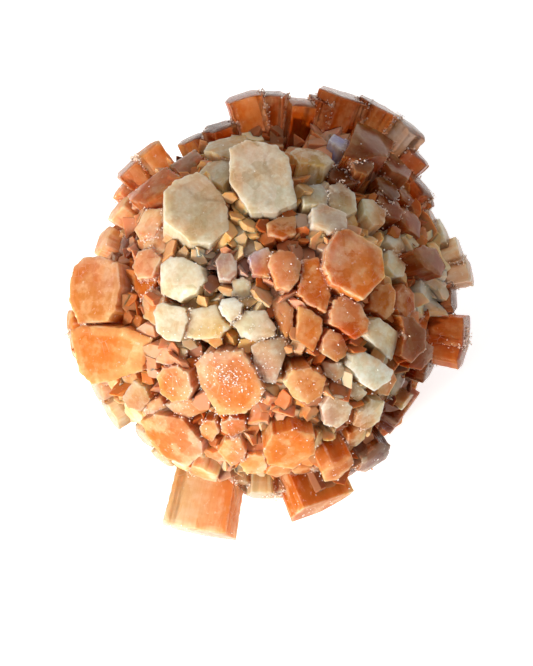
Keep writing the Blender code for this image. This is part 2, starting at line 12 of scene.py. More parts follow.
import bmesh
import bpy
import numpy as np
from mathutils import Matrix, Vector

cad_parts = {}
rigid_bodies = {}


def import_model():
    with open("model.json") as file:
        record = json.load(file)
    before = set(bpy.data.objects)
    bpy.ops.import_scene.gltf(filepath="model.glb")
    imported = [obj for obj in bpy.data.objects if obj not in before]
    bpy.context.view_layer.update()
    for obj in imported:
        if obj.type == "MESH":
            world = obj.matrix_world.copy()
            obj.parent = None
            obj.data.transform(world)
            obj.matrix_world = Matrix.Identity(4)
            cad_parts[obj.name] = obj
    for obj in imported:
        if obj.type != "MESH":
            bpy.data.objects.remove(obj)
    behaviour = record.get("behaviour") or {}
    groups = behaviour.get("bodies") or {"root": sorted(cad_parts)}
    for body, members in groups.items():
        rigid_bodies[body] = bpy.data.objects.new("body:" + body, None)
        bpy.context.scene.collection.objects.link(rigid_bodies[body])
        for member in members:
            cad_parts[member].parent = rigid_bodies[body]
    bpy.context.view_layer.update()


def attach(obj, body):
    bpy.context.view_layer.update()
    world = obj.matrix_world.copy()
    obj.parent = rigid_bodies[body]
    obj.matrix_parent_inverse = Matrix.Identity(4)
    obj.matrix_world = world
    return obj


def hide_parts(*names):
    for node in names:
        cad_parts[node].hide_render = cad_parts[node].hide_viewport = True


bl_info = {
    "name": "Aragonite Ball Cluster",
    "version": (1, 0, 0),
    "blender": (4, 5, 0),
    "location": "View3D > Sidebar > Aragonite",
    "description": "Builds a ball of intergrown six-sided aragonite crystals, piece by piece",
    "category": "Add Mesh",
}

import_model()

MM = 0.001  # the sizes below are in millimetres, and the model is in metres

# The crystals' places and sizes, the same as in the solid
CENTRE_HEIGHT = 25.5  # from the resting spot up to the point that the crystals grew from
FACE_TILT = math.radians(60)  # how far the well-formed face of the ball looks up from the horizon
CRYSTAL_ROOT = 8.0  # each crystal starts this far from the centre
ROOT_SHARE = 0.8  # its width there, as a share of its width at the tip
SHOULDER = 0.56  # where the long flats of a six-sided outline end, as a share of its half length
CORNER_PLAY = 0.06  # how far a corner strays from the regular outline, as a share of the width
RADIAL = (0, 0)  # the root of a crystal that grew straight out from the centre

# The rest of the ball, behind and below the measured face. Each pair is a smallest and a largest value,
# and each margin is how far outside its neighbours' tips a crystal stands, as a share of its width.
SEED = 11
NUDGE = 0.06  # how far a crystal's direction strays from an even spread
FLATNESS = (0.7, 0.95)  # its short side, as a share of its long one
BACK_DIRECTIONS = 330
BACK_REACH = (25.0, 28.6)
BACK_WIDTH = (4.8, 9.0)
BACK_MARGIN = 0.29
BACK_EDGE = -0.3  # nearer the face than this share of the way out of it, the back's crystals are short
EDGE_REACH = (23.0, 25.4)
FACE_EDGE = 0.2  # nearer the face than this, crystals only fill the gaps between the measured ones
GAP_DIRECTIONS = 640
GAP_REACH = (24.8, 27.0)
GAP_WIDTH = (3.2, 4.8)
GAP_MARGIN = 0.26
SIDEWAYS = 0.3  # a tip that faces a direction by less than this cosine doesn't cover it

# The crystals that the ball rests on: one straight down, and a ring that leans out round it
FOOT_RING = 5
FOOT_LEAN = math.radians(27)
FOOT_WIDTH = (7.0, 9.0)
FOOT_FLATNESS = 0.85
FOOT_SPARE = 0.8  # how far the middle one would reach below the floor that cuts it
RING_SPARE = 2.6

# The skin of the visible crystals
HIDDEN_ROOT = 15.0  # the skin of a crystal starts this far from the centre, deep in the heart
INNER_REACH = 20.5  # the heart hides what is nearer to the centre than this
HEART_RADIUS = 21.2
HEART_WAVE = 0.5  # how far its surface rises and falls
HEART_ROWS = 60
HEART_COLUMNS = 120
HEART_MARK = -1  # stands for the heart where a crystal's number is kept
HIDDEN_SPACING = 1.5  # how much coarser the skin is made behind and below
CORNER_ROUND = 0.2  # how far from a corner its rounding starts
CORNER_SHARE = 0.3  # the most of a side that this rounding may take
CURVE_POINTS = 4  # how many points run round a rounded corner, and down a worn rim
RIM_WEAR = 0.17  # the worn round of the rim between a tip and its sides
WEAR_PLAY = (0.6, 1.25)  # how much less or more one crystal's rims are worn
FULL_WEAR = 2.2  # a tip with a smaller half width than this is worn less
LATHS = (2, 9)  # the fewest and the most lengthwise laths of a side
LATH_STEP = 0.14  # the step between them
LATH_SHARES = (0, 0, 0, 0.6, 1)  # the shares of a step that a lath can stand back
BAND = 0.1  # how far a growth band stands back
BAND_SHARES = (0, 0, 0, 0.5, 1)  # the shares of this that it can stand back
TIP_RINGS = (3, 11)  # the fewest and the most rings of points across a tip
TABLE_EDGE = (0.3, 0.8)  # how wide the slope is that runs round a flat tip
TABLE_SHARE = 0.35  # the most of the half width that it may take
TABLE_SLOPE = (0.06, 0.3)  # how steeply it falls
SLOPED = 0.75  # the share of the tips that have such a slope
SHOWN_DEPTH = 4.5  # the skin is made finely down to this depth at least
RELIEF_DEPTH = 1.6  # the relief of the tip dies out down to this depth
DOME = 0.1  # how far a tip is domed
FACET_START = (0.35, 0.85)  # where a sloping facet starts, as a share of the tip's half width
FACET_FALL = (0.08, 0.34)  # how steeply it falls
GROWTH_STEP = 0.12  # the growth step across a tip
STEP_START = (0.1, 0.9)  # where it runs, as a share of the half width
STEP_WAVE = 0.12  # how far its line waves, as a share of the half width
STEP_RUN = 0.2  # how wide its own slope is
SHARP = math.radians(24)  # an edge that turns more than this stays crisp
BLOCK_HALF = 60  # half the width of the block that cuts the resting spot
FAR = 1e3  # stands in for the sides and corners that a crystal doesn't have
NO_NEIGHBOUR = 9.0  # a crystal farther away than this is none
JOINT_WAYS = 0.8  # the least cosine between a place and a crystal that can be near it
SKIN_WAYS = 0.86  # the least cosine between a direction and a crystal that can cover it

# The marks and tints stored in the skin
RIM_MARK = 0.32  # how wide the pale mark along a rim is: wear and a painted highlight
CORNER_MARK = 0.3  # how wide it is round a corner
CORNER_WEAR_AND_HIGHLIGHT = 0.7  # and how strong
JOINT_MARK = 0.55  # how wide the mark along a joint is, for the crust and for the painted shade in the seam
ZONE_MARK = 0.9  # how fast the mark that the growth zones follow fades from the outline
TIP_DEPTH = 0.6  # a place less deep than this belongs to the flat tip
GROW_SHIFT = (17.3, -11.9, 0)  # keeps the patterns of neighbouring crystals apart
BRIGHT_PLAY = (0.9, 1.1)  # how much darker or brighter one crystal is than another
SHADE_MIDDLE = 0.45  # how much of the second tint there is in the middle of a tip
SHADE_RUN = 0.75  # how fast it grows towards the side that shades
DEEP = 7.0  # the depth at which the painted shade down a side is as dark as it gets
DEEP_PAINTED_SHADE = (0.08, 0.2, 0.3)  # how much red, green and blue the painted shade takes from it there
HEART_PAINTED_SHADE = 0.8  # how bright the heart is beside the crystals, as painted shade deep in the gaps

# The patterns in the mineral, as spots to a millimetre across, across and along a crystal
CLOUDS = (0.36, 0.36, 0.24)
BANDS = (0.12, 0.12, 1.5)
FIBRES = (1.7, 1.7, 0.08)
# painted reflections of inner planes, and the healed cracks between them
REFLECTION_PLANES_AND_CRACKS = (0.26, 0.26, 0.13)

# The patterns over the whole ball, as spots to a metre
SPOTS = 210.0
GRAIN = 1300.0
RIPPLES = 600.0
SUGAR_SPOTS = 400.0
SUGAR_GRAIN = 2600.0
RIPPLE = 0.14  # how high a ripple stands, in millimetres
SUGAR_RIPPLE = 0.05

# The filters of stains, of the painted shade in the seams and of stripes, and the tints of veils, worn rims
# with their painted highlight, grit, sugar and dust
STAIN = (0.97, 0.64, 0.3, 1)
SEAM_PAINTED_SHADE = (0.74, 0.48, 0.3, 1)
STRIPE = (0.86, 0.7, 0.54, 1)
HAZE = (1.0, 0.98, 0.92)
WORN_AND_HIGHLIGHT = (0.95, 0.88, 0.78, 1)
GRIT = (0.88, 0.72, 0.6, 1)
SUGAR = (0.95, 0.9, 0.84, 1)
CRUST_TINT = (0.84, 0.62, 0.46, 1)
DUST_TINT = (0.97, 0.94, 0.9, 1)
VEIL = 0.85  # how milky the veils are
MINERAL_IOR = 1.42

# How the glass of a group looks: how much light passes straight through, how milky and how matt it is, what
# light is left once it has passed through the soak depth in millimetres, and how far red, green and blue
# light wander under the skin as shares of the glow depth in millimetres
Glass = namedtuple("Glass", "clear milk satin soak soak_depth glow glow_depth", defaults=(2.2,))
GLASS = {
    "inner": Glass(0.3, 0.4, 0.45, (0.88, 0.64, 0.36, 1), 14.0, (1.0, 0.72, 0.46)),
    "orange": Glass(0.35, 0.5, 0.5, (0.88, 0.62, 0.3, 1), 16.0, (1.0, 0.78, 0.52)),
    "pale": Glass(0.35, 0.7, 0.42, (0.8, 0.81, 0.71, 1), 24.0, (1.0, 0.92, 0.78)),
    "brown": Glass(0.7, 0.25, 0.22, (0.86, 0.58, 0.26, 1), 12.0, (1.0, 0.7, 0.45)),
    "clear": Glass(0.55, 0.6, 0.2, (0.9, 0.76, 0.54, 1), 30.0, (1.0, 0.86, 0.68)),
    "small": Glass(0.2, 0.3, 0.45, (0.92, 0.74, 0.5, 1), 0, (1.0, 0.7, 0.45), 0.9),
}

# The little crystals, the crust and the dust
SPROUTS = 4400  # how many places are tried for a little crystal
SPROUT_BELOW = (0.5, 2.2)  # how far below the level of the tips round it a little crystal stands
SPROUT_LEVEL = 29.5  # the most that this level is, in millimetres from the centre
SPROUT_REGION = 0.24  # how far round it that level is read, as an angle
SPROUT_RANK = 0.6  # and how many of the tips there are below it, as a share
SPROUT_SHOWN = 0.25  # how far its tip stands out of the large crystals at least
SPROUT_LIFT = 1.4  # how far above the floor it stands at least
SPROUT_NUDGE = 0.02  # how far its place strays from an even spread
SPROUT_LEAN = 0.3  # how far it leans
SPROUT_TURN = 0.4
SPROUT_SLOPE = 0.45  # how much its tip slopes
SPROUT_WIDTH = (1.8, 4.2)
SPROUT_FLATNESS = (0.55, 0.95)
SPROUT_MAIN = 0.8  # the share of them that take the main tint of a large crystal, not its second one
SPROUT_SHADE = (0.65, 1.0)  # how bright they are beside it
SPROUT_MARKS = (0.3, 0.5, 0.5, 0.5)  # their marks for wear, joints and growth zones, and their chance
SPROUT_SHIFT = (7.3, 3.1, 1.7)  # keeps their patterns apart
SPROUT_KINDS = 12
SPROUT_LEVELS = [(-5.0, 0.7), (-0.16, 1.0), (-0.04, 0.97), (0.0, 0.92)]  # an outline's heights and sizes
CRUST_GRAINS = 21000
CRUST_SIZE = (0.1, 0.34)
CRUST_CLOSEST = 0.3  # the crust lies on places nearer than this to a neighbour
CRUST_SPREAD = 0.22  # and strays from them by about this much
CRUST_LIFT = 0.3  # how far above the floor it starts
CRUST_BLUSH = 0.35  # how much of the blush tint it takes on
DUST_SPECKS = 1500
DUST_SIZE = (0.07, 0.3)
DUST_SPREAD = 0.25
DUST_FRONT = 6  # the dust lies at least this far in front of the centre
DUST_OUTSIDE = 25.5  # and this far from it
DUST_ELSEWHERE = 0.004  # how thick it lies outside its patches

# Where the dust lies, as places across and up the face, how wide each patch is, and how thick it lies
DUSTED = [
    (-5, -9.5, 5.6, 1.0),
    (-8, -13, 4, 0.2),
    (-6, -17, 3.5, 0.14),
    (8, -24, 5, 0.25),
    (-7, -29, 5, 0.12),
    (3, 3, 6, 0.05),
    (10, -12, 5, 0.1),
    (0, -6, 16, 0.03),
]

# The camera, in millimetres. The lens gives the ball's centre 6.9 pixels to the millimetre.
CAMERA_DISTANCE = 600.0
CAMERA_LENS = 279.6
CAMERA_LOWER = 3.04  # how far below the centre it looks, along the face

# The paper floor, in metres: half its width, where it starts to rise behind, and how far it rises
FLOOR_HALF = 3.0
FLOOR_BEND = 2.4
FLOOR_RISE = 1.6
PAPER_TINT = (0.97, 0.97, 0.97, 1)
PAPER_GLOW = 0.55

# The even light of the room
ROOM_TINT = (1, 0.98, 0.96, 1)
ROOM_LIGHT = 0.4

# A soft light: the way that it hangs from the ball's centre, as shares across, up and out of the face, its
# distance and its width in metres, its power as a share of the key light's, and its tint
Lamp = namedtuple("Lamp", "name way distance wide share tint")
LAMPS = [
    Lamp("key", (-0.64, -0.46, 0.62), 0.6, 0.12, 1.0, (1.0, 0.95, 0.87)),
    Lamp("overhead", (0.1, 0.9, 1.0), 0.9, 0.8, 0.3, (0.97, 0.98, 1.0)),
    Lamp("window", (0.9, 0.7, 0.1), 0.9, 0.16, 0.05, (0.5, 0.66, 1.0)),
]

# A crystal seen end on: how far its flat tip stands from the centre, how far the line it grew along passes
# from the centre, its look, and the outline of the tip as it lies on the face of the ball. A look is the
# group that the crystal is built in, its main tint, the tint that it shades into, and the angle on the face
# of the ball, in degrees from across, of the side that shades.
EndOn = namedtuple("EndOn", "name reach root look corners")

# A crystal seen more from its side: the place of its tip, its size, the angle of its long way and its look
Leaning = namedtuple(
    "Leaning",
    "name across up reach long short turn look root shoulder",
    defaults=(RADIAL, SHOULDER),
)

END_ON = [
    # The pale group at the top of the face
    EndOn("pale_top", 30.6, (1, 9), ("pale", "sage", "honey", 130), [
        (-5.3, 22.9), (-2.9, 24.1), (1.4, 23.4), (3.1, 21.6), (4.2, 15.5), (1.4, 13.9), (-2.3, 13.6),
        (-5.2, 18.0),
    ]),
    EndOn("pale_left", 30.5, (-12, 3), ("pale", "cream", "sand", 60), [
        (-14.3, 16.7), (-12.8, 18.4), (-9.7, 19.6), (-8.4, 19.0), (-6.1, 16.3), (-5.3, 14.2),
        (-5.2, 11.3), (-7.6, 9.4), (-10.6, 9.7), (-14.2, 12.6),
    ]),
    EndOn("yellow_grey_top", 30.2, (0, -9), ("pale", "fawn", "straw", 270), [
        (3.3, 22.4), (4.1, 23.1), (7.9, 22.9), (9.8, 21.6), (8.4, 20.7), (4.6, 20.8),
    ]),
    EndOn("grey_block", 28.4, (0, -4), ("pale", "grey", "sage", 60), [
        (4.6, 17.6), (7.6, 17.9), (8.9, 16.4), (8.4, 14.9), (5.2, 14.8),
    ]),
    EndOn("grey_mid", 29.0, (2, 2), ("pale", "grey", "brown", 80), [
        (8.9, 17.8), (10.4, 18.3), (12.5, 16.7), (12.8, 14.2), (10.8, 13.2), (8.8, 15.0),
    ]),
    EndOn("grey_right", 28.8, (0, -4), ("pale", "fawn", "grey", 180), [
        (13.5, 16.0), (15.1, 15.9), (16.9, 14.2), (16.8, 12.6), (15.2, 12.3), (13.7, 13.7),
    ]),
    EndOn("pink_cap", 30.2, RADIAL, ("pale", "blush", "rose", 60), [
        (6.4, 14.5), (7.8, 15.2), (11.3, 13.7), (11.3, 11.6), (8.9, 10.9), (6.4, 12.1),
    ]),
    EndOn("grey_top_left", 28.2, (0, -6), ("pale", "grey", "sand", 90), [
        (-9.6, 19.6), (-8.3, 21.2), (-5.4, 21.6), (-4.6, 19.4), (-6.2, 17.6),
    ]),
    EndOn("brown_prism", 27.8, RADIAL, ("brown", "fawn", "rose", 180), [
        (-13.8, 20.9), (-10.2, 23.3), (-8.9, 21.9), (-11.6, 19.2),
    ]),
    EndOn("clear_top", 28.6, RADIAL, ("clear", "sage", "grey", 0), [
        (-9.0, 22.9), (-8.3, 24.2), (-3.0, 25.4), (-2.6, 23.8), (-5.4, 21.9),
    ]),
    EndOn("right_prism", 31.8, RADIAL, ("brown", "brown", "fawn", 150), [
        (13.1, 27.4), (18.8, 25.2), (17.2, 21.9), (13.2, 22.0), (11.4, 22.8),
    ]),
    EndOn("lilac_right", 30.8, (4, 4), ("brown", "smoke", "fawn", 270), [
        (11.8, 21.3), (12.6, 22.0), (14.8, 22.0), (15.2, 20.3), (14.2, 19.2), (12.6, 19.7),
    ]),
    # The rust and peach group in the middle
    EndOn("orange_hex", 31.0, (2, 1), ("orange", "peach", "orange", -50), [
        (8.3, 8.8), (9.8, 11.2), (11.5, 11.5), (16.3, 8.8), (16.6, 4.8), (13.4, 1.5), (9.0, 3.8),
        (7.9, 6.2),
    ]),
    EndOn("rust_top", 28.4, RADIAL, ("orange", "rust", "brown", 90), [
        (0.0, 12.3), (1.8, 13.2), (4.1, 13.4), (4.2, 10.8), (2.3, 10.0), (0.2, 10.7),
    ]),
    # its lilac second tint is a painted bluish reflection
    EndOn("lilac_middle", 28.8, (-3, 0), ("orange", "orange", "lilac", 150), [
        (-2.6, 7.5), (-1.7, 8.3), (0.2, 8.9), (0.9, 7.6), (0.4, 4.6), (-1.9, 5.1),
    ]),
    EndOn("peach_middle", 30.2, RADIAL, ("orange", "peach", "rose", 90), [
        (0.2, 6.5), (0.7, 7.9), (1.8, 8.6), (3.7, 8.3), (4.9, 6.7), (4.5, 4.4), (3.3, 2.9), (1.4, 3.2),
    ]),
    EndOn("rust_column", 29.2, RADIAL, ("orange", "rust", "orange", 30), [
        (5.1, 7.2), (7.2, 7.5), (8.6, 4.6), (9.0, 2.2), (8.3, -0.3), (5.7, 1.0), (4.3, 2.4), (4.8, 5.0),
    ]),
    EndOn("rust_low", 28.8, RADIAL, ("orange", "orange", "rust", 250), [
        (4.4, 0.7), (6.3, 0.1), (7.8, -1.1), (7.8, -2.9), (6.7, -5.8), (4.1, -3.9),
    ]),
    EndOn("pink_column", 28.4, RADIAL, ("orange", "rose", "rust", 240), [
        (0.5, 1.3), (1.8, 2.2), (3.8, 0.3), (3.7, -2.2), (2.8, -3.9), (1.7, -2.4),
    ]),
    EndOn("brown_low", 28.4, RADIAL, ("orange", "rust", "fawn", 60), [
        (14.8, 2.4), (15.8, 3.7), (17.4, 4.0), (18.2, 2.8), (18.1, -0.1), (16.9, -1.2), (14.7, 0.3),
    ]),
    EndOn("peach_right", 29.4, RADIAL, ("orange", "peach", "rust", 300), [
        (9.0, 0.0), (9.4, 1.5), (10.6, 2.2), (13.1, 1.0), (14.3, -1.3), (14.2, -2.9), (12.4, -4.0),
        (8.9, -1.8),
    ]),
    EndOn("peach_small", 28.8, RADIAL, ("orange", "rust", "rose", 120), [
        (7.9, -3.8), (8.9, -2.5), (10.5, -3.3), (11.6, -5.3), (11.2, -6.3), (9.9, -7.2), (7.7, -5.9),
    ]),
    EndOn("beige_low", 28.8, RADIAL, ("pale", "sand", "rose", 240), [
        (-2.2, -4.9), (-0.6, -3.9), (2.3, -3.9), (3.2, -4.8), (2.2, -7.5), (1.4, -10.0), (-0.1, -10.0),
        (-1.6, -8.2),
    ]),
    # The cream and green group left of the middle
    EndOn("green_left", 29.6, RADIAL, ("pale", "sage", "cream", -70), [
        (-15.0, 6.6), (-13.5, 7.7), (-11.6, 7.5), (-9.2, 6.3), (-8.6, 4.3), (-9.8, 2.6), (-12.3, 1.3),
        (-15.1, 2.6),
    ]),
    EndOn("cream_square", 29.6, RADIAL, ("pale", "sage", "cream", 90), [
        (-15.9, -0.2), (-15.3, 0.9), (-14.6, 1.2), (-11.3, 0.4), (-11.0, -1.4), (-12.0, -4.3),
        (-14.0, -4.1), (-15.4, -2.9),
    ]),
    EndOn("cream_yellow", 28.7, RADIAL, ("pale", "straw", "cream", 160), [
        (-10.9, 0.1), (-7.2, 0.9), (-6.5, -0.8), (-5.0, -2.2), (-6.5, -3.8), (-9.9, -4.0),
        (-11.5, -3.6),
    ]),
    # its white tint is partly a painted highlight
    EndOn("white_gem", 29.6, RADIAL, ("pale", "white", "cream", 270), [
        (-6.7, 0.6), (-6.2, 1.6), (-4.5, 1.9), (-3.3, 1.0), (-3.7, -0.7), (-5.0, -1.7), (-6.2, -0.6),
    ]),
    EndOn("pale_middle", 29.2, RADIAL, ("pale", "sage", "honey", 0), [
        (-4.8, -1.8), (-2.9, 0.0), (-0.2, 0.1), (1.3, -2.3), (1.1, -3.6), (-1.6, -4.2), (-3.6, -3.7),
    ]),
    EndOn("grey_small", 27.9, RADIAL, ("pale", "grey", "sage", 180), [
        (-4.8, 4.4), (-3.3, 4.8), (-2.2, 4.1), (-2.2, 2.2), (-3.4, 1.6), (-4.9, 2.1),
    ]),
    EndOn("grey_smaller", 27.4, RADIAL, ("pale", "grey", "sage", 180), [
        (-2.6, 3.0), (-1.2, 3.2), (-0.1, 2.0), (-0.3, 0.6), (-1.8, 0.3), (-2.8, 1.5),
    ]),
    EndOn("smoky_column", 28.8, (-5, -3), ("pale", "smoke", "rose", 0), [
        (-7.1, 6.9), (-6.3, 8.1), (-4.9, 8.1), (-4.1, 6.8), (-4.1, 5.2), (-5.0, 4.3), (-6.6, 4.4),
    ]),
    # The orange group low on the face
    EndOn("speckled", 29.8, RADIAL, ("orange", "orange", "peach", 130), [
        (-10.1, -7.7), (-8.6, -6.0), (-7.0, -5.6), (-3.4, -5.5), (-1.5, -8.4), (-0.3, -11.2),
        (-0.9, -12.6), (-2.9, -14.3), (-6.8, -14.6), (-9.3, -10.8),
    ]),
    EndOn("orange_low", 29.4, RADIAL, ("orange", "orange", "sand", 180), [
        (2.4, -10.1), (3.6, -8.2), (6.1, -7.9), (8.4, -9.4), (7.7, -11.9), (5.8, -13.1), (3.8, -12.2),
    ]),
    EndOn("pink_between", 28.2, RADIAL, ("pale", "rose", "sand", 0), [
        (7.8, -7.2), (10.6, -7.2), (11.2, -8.9), (9.7, -10.0), (8.4, -9.2),
    ]),
    EndOn("striped_between", 27.9, RADIAL, ("pale", "fawn", "grey", 0), [
        (11.4, -9.4), (13.0, -10.4), (14.5, -11.7), (13.4, -13.2), (11.8, -12.0),
    ]),
    EndOn("rust_low_left", 27.6, RADIAL, ("orange", "rose", "rust", 0), [
        (-14.6, -13.4), (-12.8, -12.6), (-9.4, -12.4), (-8.0, -14.0), (-11.6, -15.4),
    ]),
    EndOn("peach_low_left", 27.4, RADIAL, ("orange", "peach", "sand", 180), [
        (-17.4, -12.8), (-15.4, -12.4), (-14.4, -13.8), (-16.4, -15.0), (-17.9, -14.4),
    ]),
    EndOn("pale_peach", 29.2, RADIAL, ("pale", "sand", "peach", 200), [
        (7.7, -13.5), (8.9, -11.7), (10.7, -11.9), (12.1, -13.5), (11.5, -15.3), (9.9, -16.5),
        (8.0, -15.9),
    ]),
    EndOn("pink_crust", 28.0, RADIAL, ("orange", "rose", "peach", 200), [
        (-16.9, -5.6), (-15.9, -4.5), (-13.9, -4.3), (-11.3, -5.5), (-11.7, -7.0), (-13.8, -7.6),
        (-16.7, -7.0),
    ]),
    EndOn("orange_round", 28.8, RADIAL, ("orange", "orange", "peach", 40), [
        (-15.5, -9.2), (-14.6, -8.0), (-12.6, -7.6), (-10.9, -8.6), (-10.3, -11.0), (-11.0, -12.5),
        (-13.2, -12.8), (-14.9, -11.6),
    ]),
    EndOn("low_left", 28.8, (-2, -5), ("orange", "amber", "peach", 30), [
        (-18.0, -15.6), (-15.8, -14.6), (-12.0, -15.2), (-9.1, -18.6), (-9.1, -20.2), (-11.2, -22.0),
        (-14.4, -20.8), (-16.4, -19.0),
    ]),
    EndOn("low_small", 28.4, RADIAL, ("orange", "rust", "orange", 0), [
        (-9.4, -16.4), (-8.8, -15.3), (-7.2, -15.3), (-6.6, -17.0), (-7.8, -18.6), (-9.2, -17.8),
    ]),
    EndOn("low_sparkle", 28.6, RADIAL, ("orange", "rust", "rose", 90), [
        (-6.5, -15.6), (-5.0, -14.9), (-3.1, -15.3), (-2.9, -16.7), (-4.6, -17.7), (-6.3, -17.1),
    ]),
    EndOn("low_middle", 29.2, RADIAL, ("orange", "orange", "peach", 0), [
        (-6.9, -19.8), (-6.0, -18.4), (-3.8, -17.9), (-2.8, -19.8), (-3.2, -21.2), (-5.0, -21.9),
    ]),
    EndOn("low_middle_right", 28.7, RADIAL, ("orange", "orange", "sand", 0), [
        (-3.8, -21.6), (-2.6, -20.2), (-0.2, -20.3), (0.1, -21.9), (-0.4, -23.2), (-2.9, -23.4),
    ]),
    EndOn("big_low", 30.4, RADIAL, ("orange", "orange", "amber", 200), [
        (-0.5, -19.4), (0.8, -17.4), (3.8, -16.6), (6.8, -17.4), (6.8, -20.1), (3.7, -22.3),
        (0.2, -21.6),
    ]),
    EndOn("low_right", 29.2, RADIAL, ("orange", "rust", "amber", 270), [
        (7.9, -22.9), (9.3, -21.6), (12.2, -20.6), (12.6, -21.8), (10.1, -24.2), (8.3, -24.4),
    ]),
    # The left limb
    EndOn("left_upper", 30.6, (-10, 0), ("orange", "amber", "peach", 60), [
        (-27.9, 4.6), (-27.4, 6.4), (-26.0, 7.7), (-23.6, 7.9), (-21.0, 6.9), (-20.6, 3.5),
        (-21.3, 0.2), (-22.5, -1.4), (-26.7, -1.7), (-28.1, 1.5),
    ]),
    EndOn("left_lower", 30.6, (-9, -2), ("orange", "amber", "orange", -10), [
        (-27.9, -2.8), (-26.0, -1.9), (-20.0, -2.3), (-16.6, -4.0), (-18.1, -8.6), (-22.5, -10.0),
        (-24.8, -10.4), (-26.7, -8.6),
    ]),
    EndOn("pink_prism", 29.2, RADIAL, ("brown", "rose", "fawn", 0), [
        (-20.4, 17.0), (-14.2, 20.6), (-12.0, 19.0), (-14.5, 16.8), (-17.3, 15.2), (-19.4, 15.7),
    ]),
    EndOn("glass_left", 28.0, RADIAL, ("clear", "amber", "cream", 90), [
        (-20.6, -12.2), (-18.9, -9.8), (-17.3, -10.8), (-16.5, -12.6), (-17.8, -14.2), (-19.8, -13.8),
    ]),
    # The right limb
    EndOn("yellow_clear", 28.6, RADIAL, ("pale", "straw", "sage", 240), [
        (14.3, -1.4), (15.8, -0.9), (19.3, -3.4), (19.2, -5.3), (18.2, -7.0), (16.9, -6.5),
        (13.8, -3.5),
    ]),
    EndOn("orange_brown", 29.0, RADIAL, ("brown", "rust", "brown", 0), [
        (18.7, -0.6), (20.7, -0.9), (22.6, -2.8), (22.5, -5.4), (20.4, -7.3), (18.9, -6.3),
        (19.4, -3.4),
    ]),
    EndOn("orange_brown_low", 28.4, RADIAL, ("brown", "brown", "rust", 120), [
        (22.3, -4.0), (23.8, -5.0), (23.7, -6.5), (22.0, -8.4), (20.4, -8.2),
    ]),
    EndOn("pale_quartz", 29.4, RADIAL, ("pale", "white", "sage", 90), [
        (11.8, -8.0), (12.4, -6.5), (13.8, -5.8), (15.8, -6.8), (18.0, -8.4), (17.6, -9.8),
        (15.2, -11.3), (13.4, -10.2),
    ]),
    EndOn("brown_round", 28.4, RADIAL, ("brown", "brown", "fawn", 90), [
        (20.7, 8.5), (22.2, 9.5), (24.3, 9.0), (25.8, 6.5), (25.0, 4.9), (22.6, 6.2),
    ]),
]

